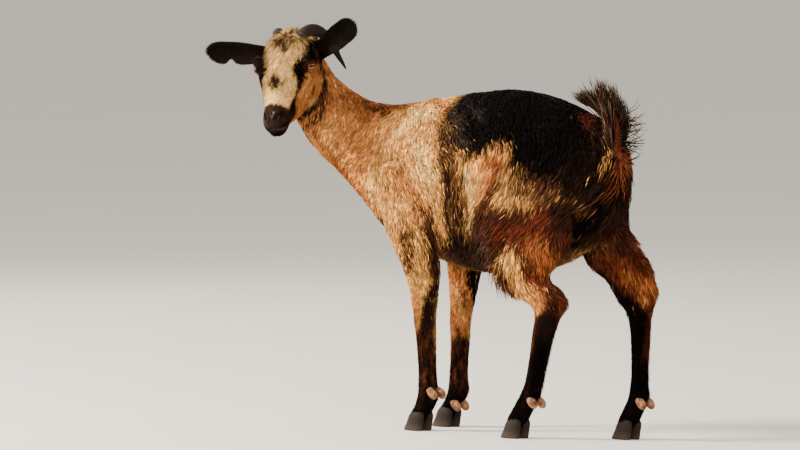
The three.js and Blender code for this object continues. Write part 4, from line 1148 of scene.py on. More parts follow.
def make_skin(settings):
    """One closed skin over trunk, neck, head, legs and tail."""
    forms = body_rings()
    made["forms"] = forms
    bm = bmesh.new()
    for _, rings in forms:
        loft(bm, [placed(ring) for ring in rings])
    obj = object_from("skin", bm)
    remesh = obj.modifiers.new("fuse", "REMESH")
    remesh.mode = "VOXEL"
    remesh.voxel_size = settings.voxel
    apply_modifiers(obj)
    mesh = obj.data
    set_coordinates(mesh, relaxed(coordinates(mesh), edge_pairs(mesh), 10))
    f, wide, n = folded_over(in_head(unplaced(coordinates(mesh)))).T
    split_faces(mesh, (f > FINE_HEAD["back"]) & (wide < FINE_HEAD["side"]) & (n > FINE_HEAD["under"]))
    local = in_head(unplaced(coordinates(mesh)))
    eyes = np.min([np.linalg.norm(local - eye_axes(sign)[0], axis=1) for sign in HANDS.values()], axis=0)
    muzzle = (local[:, 0] > FINE_MUZZLE["back"]) & (np.abs(local[:, 1]) < FINE_MUZZLE["side"])
    split_faces(mesh, (eyes < FINE_EYE) | muzzle)
    points = relaxed(coordinates(mesh), edge_pairs(mesh), 4)
    set_coordinates(mesh, points)
    region = nearest_forms(unplaced(points), forms)[0]
    on_head = region == REGIONS.index("head")
    local = in_head(unplaced(points))
    turned = vertex_normals(mesh) @ HEAD_TURN
    shaped = local + turned * (face_relief(local) * on_head)[:, None]
    shaped, rim = lids(shaped)
    set_coordinates(mesh, placed(in_body(np.where(on_head[:, None], shaped, local))))
    skin = skin_arrays(mesh)
    skin["bare"] = bare_share(skin["points"], skin["region"], rim * on_head)
    colours = blurred(coat_colour(skin["points"], skin["normals"], skin["region"]), skin["pairs"], 2)
    wet = painted("dark", len(colours))
    colours = mix(colours, wet, np.clip(skin["bare"] * 1.3, 0, 1) * on_head)
    lower = lower_lid(skin["points"]) * on_head
    colours = mix(colours, "lid", lower)
    set_colours(mesh, colours)
    set_floats(mesh, skin["bare"], "Bare")
    mesh.shade_smooth()
    return obj


def lower_lid(points):
    """A pale line along the edge of each lower lid."""
    local = in_head(points)
    out = np.zeros(len(points))
    for sign in HANDS.values():
        far, _, facing, along, above = lid_place(local, sign)
        edge = -EYE["tall"] * (1 - (along / EYE["long"]) ** 2)
        near = (far < 24) & (facing > 0.3) & (np.abs(along) < 8.0)
        out = np.maximum(out, near * within(above, edge - 2.0, edge + 0.6, 0.5))
    return out


# ================================================================ coat

# Where the coat is longer on both sides: the middle, the reach, how much longer and how many degrees
# more it lifts.
LONG_HAIR = [
    ([232, 58, 314], [50, 40, 34], 26, 2),
    ([272, 66, 320], [26, 34, 46], 18, 4),
    ([500, 20, 430], [40, 60, 70], 10, 8),
    ([440, 66, 300], [60, 40, 60], 6, 4),
    ([55, 66, 330], [30, 40, 60], 8, 6),
    ([-140, 0, 345], [46, 60, 46], 14, 14),
]


def eye_share(local):
    """1 over an eye's opening, falling to 0 beyond its lids."""
    out = np.zeros(len(local))
    for sign in HANDS.values():
        far, _, facing, along, above = lid_place(local, sign)
        ring = np.hypot(along / (EYE["long"] + 3), above / (EYE["tall"] + 4))
        out = np.maximum(out, (far < 32) * (facing > 0.2) * (1 - ease(ring, 0.8, 2.0)))
    return out


def region_coat(name, points, normals, run):
    """The length, width, lift, density and lie of the coat at points of one region."""
    x, z = points[:, 0], points[:, 2]
    if name == "trunk":
        back = np.interp(x, [-120, 60, 170, 260, 350, 500], [1.0, 0.8, 0.35, 0.0, -0.35, 0.0])
        side = 1 - ease(np.abs(normals[:, 2]), 0.5, 0.95)
        top = ease(normals[:, 2], 0.55, 0.95)
        rear = ease(normals[:, 0], 0.5, 0.9)
        lie = -run * (back * (1 - top) + top)[:, None] + np.array([0, 0, -1]) * (side * 0.95 + rear)[:, None]
        low = ease(-normals[:, 2], -0.1, 0.6) * ease(x, 40, 120)
        sleek = np.clip(ease(-x, -110, 20) + top * 0.7, 0, 1)
        length = 25 + 9 * low + 4 * ease(x, 180, 300) * side - 8 * sleek
        return length, 1.9 - 0.3 * sleek, 14 + 7 * low, 0.108 + 0.02 * sleek, lie
    if name == "neck":
        return 15, 1.5, 13, 0.16, -run + [0, 0, -0.45]
    if name == "head":
        local = in_head(points)
        f, across, n = local[:, 0], local[:, 1], local[:, 2]
        flow = np.stack([2 * ease(f, 2, 30) - 1, 0.5 * across / 40, -0.2 - 0.3 * (n < -40)], 1)
        fine = ease(f, 80, 165)
        crown = (1 - ease(f, 30, 52)) * ease(n, -26, -10)
        crown = crown * (1 - ease(np.abs(across), 30, 44))
        jowl = ease(-n, 56, 84)
        bare = eye_share(local)
        length = (11 + 8 * crown + 8 * jowl - 7 * fine) * (1 - 0.7 * bare)
        density = (0.6 + 0.55 * fine) * (1 - ease(bare, 0.75, 0.95))
        width = 1.25 - 0.5 * fine - 0.3 * bare
        return length, width, 12 + 20 * crown + 12 * jowl, density, flow @ HEAD_TURN.T
    if name == "tail":
        bald = ease(normals[:, 0], 0.3, 0.6)
        return 16 - 10 * bald, 1.4, 14, 0.3 - 0.15 * bald, run
    if name.startswith("hind"):
        shaggy = ease(z, 225, 300)
        rear = ease(normals[:, 0], 0.2, 0.8)
        lie = run + [0, 0, -0.5]
        lie[:, 0] -= 0.45 * ease(z, 330, 420) * (1 - rear)
        fringe = rear * within(z, 95, 215, 18)
        stifle = ease(-normals[:, 0], 0.3, 0.8) * within(z, 250, 360, 25)
        length = 11 + 15 * shaggy + 12 * fringe + 9 * stifle
        return length, 1.1 + 0.8 * shaggy, 14 + shaggy + 12 * fringe + 8 * stifle, 0.40 - 0.28 * shaggy, lie
    shaggy = ease(z, 200, 340)
    return 10 + 12 * shaggy, 1.1 + 0.7 * shaggy, 14, 0.40 - 0.27 * shaggy, run + [0.12, 0, -0.3]


def coat_fields(skin):
    """The length, width, lift and density of the coat at each vertex of the skin, and how it lies."""
    points, normals, region = skin["points"], skin["normals"], skin["region"]
    values, lie = np.empty((len(points), 4)), np.empty((len(points), 3))
    for k, name in enumerate(REGIONS):
        here = region == k
        *sizes, lie[here] = region_coat(name, points[here], normals[here], skin["ways"][here])
        for column, size in enumerate(sizes):
            values[here, column] = size
    for centre, size, longer, higher in LONG_HAIR:
        share = blob(folded_over(points), centre, size)
        values[:, 0] += longer * share
        values[:, 2] += higher * share
    values = blurred(values, skin["pairs"], 12)
    flow, holds = hair_way(points, normals)
    bodily = ~np.isin(region, [REGIONS.index("head"), REGIONS.index("tail")])
    holds = holds * bodily * ease(points[:, 2], 300, 345)
    lie = mix(unit(lie), flow, holds)
    swirl = np.stack([noise(points, 40, k) - 0.5 for k in (41, 42, 43)], 1) * 0.8
    lie = blurred(unit(lie) + swirl, skin["pairs"], 6)
    return values, unit(flattened(lie, normals))


def scattered(skin, density, draw):
    """Roots spread over the skin: for each the triangle it is on and its place in it."""
    a, b, c = (skin["points"][skin["triangles"][:, k]] for k in range(3))
    area = 0.5 * np.linalg.norm(np.cross(b - a, c - a), axis=1)
    wanted = area * density[skin["triangles"]].mean(1)
    number = np.floor(wanted + draw.random(len(wanted))).astype(int)
    face = np.repeat(np.arange(len(wanted)), number)
    u, v = draw.random(len(face)), draw.random(len(face))
    over = u + v > 1
    u[over], v[over] = 1 - u[over], 1 - v[over]
    return face, np.stack([1 - u - v, u, v], 1)


def at_roots(skin, values, face, shares):
    """Values of the skin's vertices, blended at the roots."""
    corners = values[skin["triangles"][face]]
    if values.ndim == 1:
        return (corners * shares).sum(1)
    return (corners * shares[:, :, None]).sum(1)


def gathered(tufts, size, pull, spread, draw):
    """Tufts drawn together in locks of about `size`, with one tone to a lock."""
    roots, tips = tufts["roots"], tufts["tips"]
    count = max(8, int(len(roots) / max(1.0, size)))
    chosen = draw.choice(len(roots), count, replace=False)
    tree = KDTree(count)
    for k, index in enumerate(chosen):
        tree.insert(roots[index], k)
    tree.balance()
    lock = np.array([tree.find(root)[1] for root in roots])
    leader = roots + 0.5 * (tips - roots) + 0.5 * (tips[chosen][lock] - roots)
    strength = pull * (0.5 + 0.5 * draw.random(len(roots)))[:, None]
    tufts["tips"] = tips + (leader - tips) * strength
    tufts["colours"] = tufts["colours"] * np.exp(draw.normal(0, spread, count))[lock][:, None]


# Where the rings of a tuft are, in shares of its length, and how wide it is there.
TUFT_RINGS = {
    1: [(0.0, 1.0)],
    2: [(0.0, 0.8), (0.52, 1.0)],
    4: [(0.0, 0.8), (0.26, 1.0), (0.52, 0.9), (0.78, 0.65)],
}
TUFT_SUNK = 0.8


def tuft_arrays(roots, normals, tips, heights, widths, rings):
    """Vertices and triangles of three-sided tufts that rise from their roots and bend over to their tips."""
    count = len(roots)
    run = tips - roots
    across = unit(np.cross(normals, run))
    start = roots - normals * TUFT_SUNK
    bend = roots + run * 0.38 + normals * heights[:, None]
    verts, shares = [], []
    for t, size in TUFT_RINGS[rings]:
        middle = (1 - t) ** 2 * start + 2 * t * (1 - t) * bend + t * t * tips
        tangent = unit(2 * (1 - t) * (bend - start) + 2 * t * (tips - bend))
        ridge = unit(np.cross(tangent, across)) * (widths * size * 0.45)[:, None]
        half = across * (widths * size * 0.5)[:, None]
        verts += [middle + half, middle + ridge, middle - half]
        shares += [t] * 3
    verts.append(tips)
    shares.append(1.0)
    per = len(verts)
    faces = [[0, 1, 2]]
    for ring in range(rings - 1):
        for k in range(3):
            a, b = ring * 3 + k, ring * 3 + (k + 1) % 3
            faces += [[a, b + 3, b], [a, a + 3, b + 3]]
    last = (rings - 1) * 3
    faces += [[last + k, per - 1, last + (k + 1) % 3] for k in range(3)]
    points = np.stack(verts, 1).reshape(-1, 3)
    indices = (np.arange(count)[:, None, None] * per + np.array(faces)[None]).reshape(-1, 3)
    return points, indices, np.array(shares)


def tuft_object(name, points, triangles, colours, patches):
    """A coat piece from arrays, with its colours and its map of the skin."""
    mesh = bpy.data.meshes.new(name)
    mesh.vertices.add(len(points))
    mesh.vertices.foreach_set("co", np.ascontiguousarray(placed(points), np.float32).ravel())
    mesh.loops.add(triangles.size)
    mesh.loops.foreach_set("vertex_index", np.ascontiguousarray(triangles, np.int32).ravel())
    mesh.polygons.add(len(triangles))
    mesh.polygons.foreach_set("loop_start", np.arange(0, triangles.size, 3, dtype=np.int32))
    mesh.update(calc_edges=True)
    set_colours(mesh, colours)
    layer = mesh.uv_layers.new(name="OFBake")
    layer.data.foreach_set("uv", np.ascontiguousarray(patches[triangles.ravel()], np.float32).ravel())
    mesh.shade_smooth()
    obj = bpy.data.objects.new(name, mesh)
    bpy.context.scene.collection.objects.link(obj)
    return obj


# The size of a tuft's patch and the edge that is left free, in shares of the map.
PATCH, MARGIN = 0.003, 0.01


def patch_map(along, around, shares, per):
    """For each vertex of each tuft a place in a small patch at its root's place on the skin's map."""
    corner = np.zeros((per, 2))
    corner[:, 0] = (np.arange(per) % 3 - 1) * PATCH / 2
    corner[:, 1] = (shares - 0.5) * PATCH
    base = MARGIN + (1 - 2 * MARGIN) * np.stack([along, around], 1)
    return (base[:, None] + corner[None]).reshape(-1, 2)


def spread_out(values):
    """The values stretched to run from 0 to 1."""
    low, high = values.min(), values.max()
    return (values - low) / max(high - low, 1e-6)


MOST_TUFTS = {1: 45000, 2: 19000, 4: 8000}  # in one piece, by their number of rings
TUFT_KEYS = ("roots", "normals", "tips", "heights", "widths", "colours", "along", "around")


def tuft_pieces(name, tufts, rings):
    """Coat pieces small enough each, from the tufts of one region."""
    order = np.argsort(tufts["along"], kind="stable")
    parts = max(1, ceil(len(order) / MOST_TUFTS[rings]))
    for k, index in enumerate(np.array_split(order, parts)):
        shape = [tufts[key][index] for key in TUFT_KEYS[:5]]
        points, triangles, shares = tuft_arrays(*shape, rings)
        per = len(shares)
        # Each tuft is darker towards its root, a painted shade, and brighter towards its tip, a painted
        # sunlight.
        shade = np.interp(shares, [0, 0.45, 1], [0.45, 0.92, 1.2])
        colours = (tufts["colours"][index][:, None] * shade[None, :, None]).reshape(-1, 3)
        patches = patch_map(spread_out(tufts["along"][index]), tufts["around"][index], shares, per)
        piece = tuft_object(f"{name}_{k + 1}" if parts > 1 else name, points, triangles, colours, patches)
        piece.data.materials.append(made["materials"]["coat"])
        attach(piece, "root")


def grown_tufts(skin, values, lie, pick, draw):
    """Roots, tips and colours of the tufts over the vertices that are picked."""
    density = np.where(pick, values[:, 3], 0) * (1 - np.clip(skin["bare"] * 1.2, 0, 1))
    face, shares = scattered(skin, density, draw)
    roots = at_roots(skin, skin["points"], face, shares)
    normals = unit(at_roots(skin, skin["normals"], face, shares))
    way = unit(at_roots(skin, lie, face, shares))
    length, width, lift, _ = at_roots(skin, values, face, shares).T
    count = len(face)
    length = length * draw.uniform(0.7, 1.2, count)
    width = width * draw.uniform(0.75, 1.25, count)
    angle = np.radians(lift * draw.uniform(0.55, 1.25, count))
    across = np.cross(normals, way)
    way = unit(way + across * draw.normal(0, 0.13, count)[:, None])
    rise = length * np.sin(angle)
    tips = roots + way * (length * np.cos(angle))[:, None] + normals * (rise * 0.8)[:, None]
    corner = skin["triangles"][face, 0]
    reach = np.where(draw.random(count) < 0.22, 10.0, 2.5) * np.clip(length / 20, 0.15, 1)
    stray = draw.normal(0, 1, (count, 3)) * reach[:, None]
    strayed = roots + stray - way * (length * draw.uniform(-0.2, 0.5, count))[:, None]
    colours = coat_colour(strayed, normals, skin["region"][corner])
    streaks = np.exp(draw.normal(0, 0.12, count)) * np.where(draw.random(count) < 0.1, 0.55, 1)
    streaks = streaks * (0.8 + 0.4 * noise(roots * [1, 1, 0.4], 7, 51))
    return {
        "roots": roots, "normals": normals, "tips": tips, "heights": rise * 0.85,
        "widths": width, "colours": colours * streaks[:, None], "along": skin["along"][corner],
        "around": skin["around"][corner],
    }


SHOULDER_END, CANNON_TOP = 110, 232  # where the coat is cut into pieces
FIRST_SEED = 100


def make_coat(settings):
    """The coat of the trunk, neck, head and legs, one region at a time."""
    skin = made["skin"]
    values, lie = coat_fields(skin)
    values[:, 3] *= settings.density
    region, y = skin["region"], skin["points"][:, 1]
    front = skin["points"][:, 0] < SHOULDER_END
    high = skin["points"][:, 2] > CANNON_TOP
    areas = {}
    for part, where in (("shoulder", front), ("flank", ~front)):
        for hand, side in (("left", y < 0), ("right", y >= 0)):
            areas[f"coat_{part}_{hand}"] = ((region == REGIONS.index("trunk")) & where & side, 2, "tan_coat")
    areas["coat_neck"] = (region == REGIONS.index("neck"), 2, "tan_coat")
    areas["coat_head"] = (region == REGIONS.index("head"), 1, "face")
    areas["coat_dock"] = (region == REGIONS.index("tail"), 1, "dark_coat")
    for name in LEG_PATH:
        here = region == REGIONS.index(name)
        areas[f"coat_{name}_upper"] = (here & high, 2, "tan_coat")
        areas[f"coat_{name}_lower"] = (here & ~high, 1, "dark_coat")
    for k, (name, (pick, rings, slot)) in enumerate(areas.items()):
        draw = np.random.default_rng(FIRST_SEED + k)
        tufts = grown_tufts(skin, values, lie, pick, draw)
        gathered(tufts, settings.clump, 0.35, 0.12, draw)
        gathered(tufts, 4, 0.7, 0.3, draw)
        tuft_pieces(name, tufts, rings)


# ================================================================ tail, ears, horns, eyes and feet

# The long hair of the tail: where it grows in shares of the dock and in degrees round it, the way it
# points, its length, its lift in degrees, how many hairs there are and their tones.
TAIL_HAIR = [
    [0.55, 1.0, 30, 150, (-1, 0, 0.42), 60, 15, 760, "dark"],
    [0.42, 0.95, -30, 210, (-0.4, 0, 1), 48, 10, 620, "dark"],
    [0.1, 0.8, 195, 235, (-0.15, -0.2, 1), 46, 8, 320, "dark"],
    [0.2, 0.8, 305, 350, (0.1, 0.25, 1), 46, 12, 300, "dark"],
    [0.0, 0.6, 315, 352, (0.5, 0.75, 0.1), 50, 30, 70, "dark"],
    [0.0, 0.5, 20, 160, (-0.5, 0, 0.9), 30, 12, 300, "pale"],
    [0.0, 0.1, 330, 350, (0.3, 0.9, -0.3), 56, 18, 14, "dark"],
]
TAIL_SIDES = 72
TAIL_TONES = {
    "dark": ["black", "black", "black", "dark", "dark", "dark", "brown", "grey", "olive"],
    "pale": ["gold", "tan", "sand", "olive", "dark"],
}


def make_tail_hair():
    """Long hair that fans from the dock."""
    draw = np.random.default_rng(7)
    rows = smooth_rows(thinned(TAIL, [COAT_DEPTH["tail"]] * len(TAIL)), 8)
    centres = np.array([row[:3] for row in rows])
    hairs = []
    for low, high, first, last, lie, long, lift, count, tone in TAIL_HAIR:
        for _ in range(count):
            share = draw.uniform(low, high)
            degrees = draw.uniform(first, last)
            i = min(int(share * (len(rows) - 1)), len(rows) - 1)
            ring = section(rows[i], TAIL_SIDES)
            root = ring[int(degrees / (360 / TAIL_SIDES)) % TAIL_SIDES]
            out = unit(root - centres[i])
            way = square_to(unit(np.array(lie, float) + draw.normal(0, 0.14, 3)), out)
            length = long * draw.uniform(0.6, 1.25)
            rise = sin(radians(lift * draw.uniform(0.7, 1.3))) * length
            tip = root + way * sqrt(length ** 2 - rise ** 2) + out * rise
            colour = COLOURS[TAIL_TONES[tone][draw.integers(len(TAIL_TONES[tone]))]]
            width = draw.uniform(1.0, 2.0)
            colour = colour * draw.uniform(0.7, 1.3)
            hairs.append((root, out, tip, rise * 0.95, width, colour, share, (degrees % 360) / 360))
    tufts = {key: np.array(values, float) for key, values in zip(TUFT_KEYS, zip(*hairs))}
    tuft_pieces("tail_hair", tufts, 4)


def ear_share(t):
    """The share of an ear's full width at a share of its length."""
    root = 0.7 + 0.3 * ease(t, 0, 0.55)
    end = np.clip((t - 0.72) / 0.28, 0, 1)
    return np.maximum(0.12, root * np.sqrt(np.maximum(0, 1 - end ** 2.8)))


def make_ear(hand):
    """A cupped leaf of an ear. Also the way that it points, in the head's frame."""
    sign = HANDS[hand]
    axis = unit(EAR_LIE[hand]["along"])
    front = square_to(np.array(EAR_LIE[hand]["face"], float), axis)
    wide = np.cross(front, axis)
    root = mirrored(EAR["at"], sign)
    bm = bmesh.new()
    bmesh.ops.create_grid(bm, x_segments=36, y_segments=18, size=1.0)
    for vert in bm.verts:
        u, t = vert.co.y, -0.1 + 1.1 * (vert.co.x + 1) / 2
        half = EAR["half"] * float(ear_share(t))
        if hand == "right" and u > 0:
            u *= 1 - NOTCH["deep"] * exp(-((t - NOTCH["at"]) / NOTCH["half"]) ** 2)
            t -= 0.04 * u * u * max(t, 0)
        cup = EAR["cup"] * (1 - 0.8 * max(t, 0)) * min(1, half / EAR["half"] + 0.2)
        point = root + axis * EAR["length"] * t + wide * half * u + front * (cup * u * u - cup)
        vert.co = placed(in_body(point))
    obj = object_from(f"ear_skin_{hand}", bm)
    wall = obj.modifiers.new("wall", "SOLIDIFY")
    wall.thickness = EAR["wall"] * MM
    wall.offset = 0.0
    smooth = obj.modifiers.new("smooth", "SUBSURF")
    smooth.levels = smooth.render_levels = 1
    apply_modifiers(obj)
    points = unplaced(coordinates(obj.data))
    local = in_head(points)
    t = (local - root) @ axis / EAR["length"]
    inner = vertex_normals(obj.data) @ HEAD_TURN @ front
    cup = ease(inner, 0.3, 0.9) * (1 - ease(t, 0.3, 0.7))
    colours = mix(painted("black", len(points)), "dark", cup * 0.6)
    set_colours(obj.data, colours)
    set_floats(obj.data, ease(inner, 0.4, 0.9) * 0.3, "Bare")
    finish_piece(obj, "skin", "dark_coat", f"ear_{hand}")
    return obj, axis


EAR_COAT = [8.0, 0.9, 12.0, 0.5]  # length, width, lift in degrees and tufts to a square millimetre
EAR_SEED = {"left": 61, "right": 62}


def make_ear_coat(hand, obj, axis):
    """Short hair over an ear."""
    mesh = obj.data
    points, normals = unplaced(coordinates(mesh)), vertex_normals(mesh)
    count = len(points)
    cloth = {
        "points": points, "normals": normals, "triangles": triangle_corners(mesh),
        "bare": np.zeros(count), "region": np.full(count, REGIONS.index("tail")),
        "along": spread_out(in_head(points) @ axis),
        "around": spread_out(points[:, 2]) * 0.5 + 0.5 * (normals[:, 0] > 0),
    }
    way = flattened(np.tile(HEAD_TURN @ axis, (count, 1)), normals)
    values = np.tile(EAR_COAT, (count, 1))
    draw = np.random.default_rng(EAR_SEED[hand])
    tufts = grown_tufts(cloth, values, unit(way), np.ones(count, bool), draw)
    tone = draw.random(len(tufts["roots"]))[:, None]
    tufts["colours"] = np.where(tone < 0.7, COLOURS["black"], COLOURS["dark"])
    tuft_pieces(f"coat_ear_{hand}", tufts, 1)


def make_horn(hand):
    """A ringed horn that curls back, down and out."""
    rows = np.array(smooth_rows(HORN_PATH, 24))
    centres = np.array([mirrored(row[:3], HANDS[hand]) for row in rows]) + HORN_SHIFT[hand]
    ways = unit(np.gradient(centres, axis=0))
    run = np.concatenate([[0], np.cumsum(np.linalg.norm(np.diff(centres, axis=0), axis=1))])
    angle = np.arange(HORN_SIDES)[:, None] * 2 * pi / HORN_SIDES
    rings = []
    for centre, way, radius, far in zip(centres, ways, rows[:, 3], run):
        side = square_to(np.array([0, 1.0, 0]), way)
        top = np.cross(way, side)
        wave = 0.5 + 0.5 * sin(2 * pi * far / HORN_RING + 0.9 * sin(far / 17))
        radius += HORN_RELIEF * wave * float(1 - ease(far, run[-1] - 50, run[-1] - 15))
        rings.append(in_body(centre + radius * (side * np.cos(angle) + top * np.sin(angle))))
    bm = bmesh.new()
    loft(bm, [placed(ring) for ring in rings])
    obj = object_from(f"horn_shell_{hand}", bm)
    set_floats(obj.data, run.repeat(HORN_SIDES), "Along")
    finish_piece(obj, "horn", "horn", f"horn_{hand}")


def make_eye(hand):
    """An eyeball with a low cornea."""
    centre, look, fissure, across = eye_axes(HANDS[hand])
    basis = np.stack([fissure, across, look], 1)
    bm = bmesh.new()
    bmesh.ops.create_uvsphere(bm, u_segments=48, v_segments=32, radius=EYE["radius"])
    for vert in bm.verts:
        p = np.array(vert.co)
        swell = 1 + 0.05 * float(ease(p[2] / EYE["radius"], 0.72, 0.92))
        vert.co = placed(in_body(centre + basis @ (p * swell)))
    obj = object_from(f"eyeball_{hand}", bm)
    local = in_head(unplaced(coordinates(obj.data))) - centre
    set_floats(obj.data, local @ fissure, "Level")
    set_floats(obj.data, local @ across, "Tall")
    finish_piece(obj, "eye", "eye", f"eye_{hand}")


def make_hooves(name):
    """The two claws and two dewclaws of a foot."""
    pair, hand = name.split("_")
    sign = HANDS[hand]
    foot_x, foot_y = LEG_PATH[name][-2][:2]
    high, radius = DEWCLAW_HEIGHT[name], DEWCLAW["radius"]
    slices = np.array(leg_rows(name))[::-1]
    back = float(np.interp(high, slices[:, 2], slices[:, 0] + slices[:, 6]))
    fetlock_y = float(np.interp(high, slices[:, 2], np.abs(slices[:, 1])))
    for digit, step in (("inner", -1), ("outer", 1)):
        y = sign * (foot_y + step * HOOF["apart"])
        rows = smooth_rows(claw_rows(foot_x, y), 6)
        rings = [splayed(section(row, 40), foot_x, y, sign * step) for row in rows]
        bm = bmesh.new()
        loft(bm, [placed(ring) for ring in rings])
        claw = object_from(f"claw_{name}_{digit}", bm)
        finish_piece(claw, "hoof", "hoof", f"{pair}_hoof_{hand}_{digit}")
        y = sign * (fetlock_y + step * DEWCLAW["apart"])
        rows = []
        for behind, above, *sizes in DEWCLAW_ROWS:
            sizes = [radius * size for size in sizes]
            rows.append([back + behind, y, high + above, 0, DEWCLAW["pitch"], *sizes, 0, 0])
        bm = bmesh.new()
        loft(bm, [placed(section(row, 24)) for row in smooth_rows(rows, 5)])
        dewclaw = object_from(f"dewclaw_{name}_{digit}", bm)
        finish_piece(dewclaw, "dewclaw", "dewclaw", f"{pair}_dewclaw_{hand}_{digit}")


def finish_piece(obj, material, slot, *nodes):
    """Gives a piece its material and body, and hides the nodes that it stands for. The slot is not used."""
    obj.data.materials.append(made["materials"][material])
    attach(obj, "root")
    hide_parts(*nodes)


# ================================================================ materials

class Value:
    """A shader number that takes part in expressions."""

    def __init__(self, tree, socket):
        self.tree, self.socket = tree, socket

    def _math(self, operation, first, second=None):
        node = self.tree.nodes.new("ShaderNodeMath")
        node.operation = operation
        for socket, value in zip(node.inputs, (first, second)):
            if isinstance(value, Value):
                self.tree.links.new(value.socket, socket)
            elif value is not None:
                socket.default_value = value
        return Value(self.tree, node.outputs[0])

    def __add__(self, other):
        return self._math("ADD", self, other)

    def __sub__(self, other):
        return self._math("SUBTRACT", self, other)

    def __mul__(self, other):
        return self._math("MULTIPLY", self, other)

    def __truediv__(self, other):
        return self._math("DIVIDE", self, other)

    def __pow__(self, other):
        return self._math("POWER", self, other)

    def __rsub__(self, other):
        return self._math("SUBTRACT", other, self)

    __radd__ = __add__

    def size(self):
        return self._math("ABSOLUTE", self)

    def root(self):
        return self._math("SQRT", self)

    def above(self, edge, soft):
        """Rises from 0 to 1 around an edge."""
        node = self.tree.nodes.new("ShaderNodeMapRange")
        node.interpolation_type = "SMOOTHSTEP"
        self.tree.links.new(self.socket, node.inputs["Value"])
        node.inputs["From Min"].default_value = edge - soft
        node.inputs["From Max"].default_value = edge + soft
        return Value(self.tree, node.outputs["Result"])


class Finish:
    """A material under construction."""

    def __init__(self, name):
        self.material = bpy.data.materials.new(name)
        self.material.use_nodes = True
        self.tree = self.material.node_tree
        self.tree.nodes.clear()
        self.shader = self.node("ShaderNodeBsdfPrincipled")
        output = self.node("ShaderNodeOutputMaterial")
        self.tree.links.new(self.shader.outputs[0], output.inputs["Surface"])

    def node(self, kind, settings=(), **values):
        """A node with its settings set first, then its sockets given values or links."""
        node = self.tree.nodes.new(kind)
        for key, value in dict(settings).items():
            setattr(node, key, value)
        for key, value in values.items():
            self.feed(node.inputs[key.replace("_", " ")], value)
        return node

    def feed(self, socket, value):
        """Links or sets a socket."""
        if isinstance(value, Value):
            value = value.socket
        if isinstance(value, bpy.types.NodeSocket):
            self.tree.links.new(value, socket)
        else:
            socket.default_value = value

    def value(self, socket):
        """A socket's number, to be reckoned with."""
        return Value(self.tree, socket)

    def number(self, name):
        """A number stored on the mesh."""
        return self.value(self.node("ShaderNodeAttribute", {"attribute_name": name}).outputs["Fac"])

    def colour(self, name):
        """A colour stored on the mesh."""
        return self.node("ShaderNodeAttribute", {"attribute_name": name}).outputs["Color"]

    def grain(self, scale, stretch=(1, 1, 1), detail=3.0):
        """Noise over the object's own space."""
        place = self.node("ShaderNodeTexCoord").outputs["Object"]
        turned = self.node("ShaderNodeMapping", Vector=place, Scale=stretch).outputs[0]
        lumps = self.node("ShaderNodeTexNoise", Vector=turned, Scale=scale, Detail=detail)
        return self.value(lumps.outputs[0])

    def blend(self, share, first, second, mode="MIX"):
        """Two colours mixed by a share."""
        node = self.node("ShaderNodeMix", {"data_type": "RGBA", "blend_type": mode})
        for socket, value in zip((node.inputs[0], node.inputs[6], node.inputs[7]), (share, first, second)):
            self.feed(socket, value)
        return node.outputs[2]

    def shaded(self, share, grain, darkest):
        """The stored colour of the coat, darkened a little by a grain."""
        grey = self.blend(grain, (darkest, darkest, darkest, 1), (1, 1, 1, 1))
        return self.blend(share, self.colour("Coat"), grey, "MULTIPLY")

    def bump(self, height, strength, distance):
        """Presses a height into the surface."""
        node = self.node("ShaderNodeBump", Height=height, Strength=strength, Distance=distance)
        self.feed(self.shader.inputs["Normal"], node.outputs[0])

    def finish(self, **values):
        """The material, with sockets of its shader given values or links."""
        for key, value in values.items():
            self.feed(self.shader.inputs[key.replace("_", " ")], value)
        return self.material


def screen(red, green, blue):
    """A screen colour, from 0 to 255, for a shader's socket."""
    return (*linear(red, green, blue).tolist(), 1.0)


def skin_material():
    """Short-haired skin: fine streaks, and smooth dark leather where it is bare."""
    look = Finish("skin")
    bare = look.number("Bare")
    streaks = look.grain(520, (1, 1, 0.3), 4)
    leather = look.grain(900, detail=5)
    tone = look.shaded(0.35, streaks, 0.45)
    look.bump(streaks * (1 - bare) + leather * bare * 0.7, 0.55, 0.0012)
    return look.finish(Base_Color=tone, Roughness=0.75 - bare * 0.3, Specular_IOR_Level=0.06)


def coat_material():
    """Hair that keeps its own colour, with a faint sheen."""
    look = Finish("coat")
    shade = look.grain(260, detail=2)
    tone = look.shaded(0.25, shade, 0.5)
    return look.finish(Base_Color=tone, Roughness=0.65, Specular_IOR_Level=0.03)


def horn_material():
    """Dull dark horn with fine rings, paler towards its root."""
    look = Finish("horn")
    along = look.number("Along")
    grain = look.grain(420, (1, 1, 1), 5)
    rings = look.value(look.node("ShaderNodeMath", {"operation": "SINE"}).outputs[0])
    look.feed(rings.socket.node.inputs[0], along * 2.33 + grain * 1.6)
    pale = rings.above(0.35, 0.6) * (1 - along.above(110, 30))
    tone = look.blend(pale * 0.5, screen(22, 17, 14), screen(70, 54, 42))
    tone = look.blend(grain * 0.4, tone, screen(20, 16, 15))
    look.bump(rings * 0.3 + grain, 0.5, 0.0007)
    return look.finish(Base_Color=tone, Roughness=0.6 + grain * 0.2, Specular_IOR_Level=0.1)


def hoof_material():
    """Dark hoof with level growth lines and a worn, dusty edge."""
    look = Finish("hoof")
    place = look.node("ShaderNodeSeparateXYZ", Vector=look.node("ShaderNodeTexCoord").outputs["Object"])
    height = look.value(place.outputs[2])
    grain = look.grain(300, (1, 1, 4), 4)
    lines = look.grain(60, (0.3, 0.3, 14), 2)
    tone = look.blend(lines, screen(16, 12, 10), screen(42, 32, 26))
    worn = (1 - height.above(0.010, 0.008)) * grain
    tone = look.blend(worn, tone, screen(66, 52, 41))
    look.bump(lines + grain * 0.4, 0.5, 0.001)
    return look.finish(Base_Color=tone, Roughness=0.55 + grain * 0.2, Specular_IOR_Level=0.12)


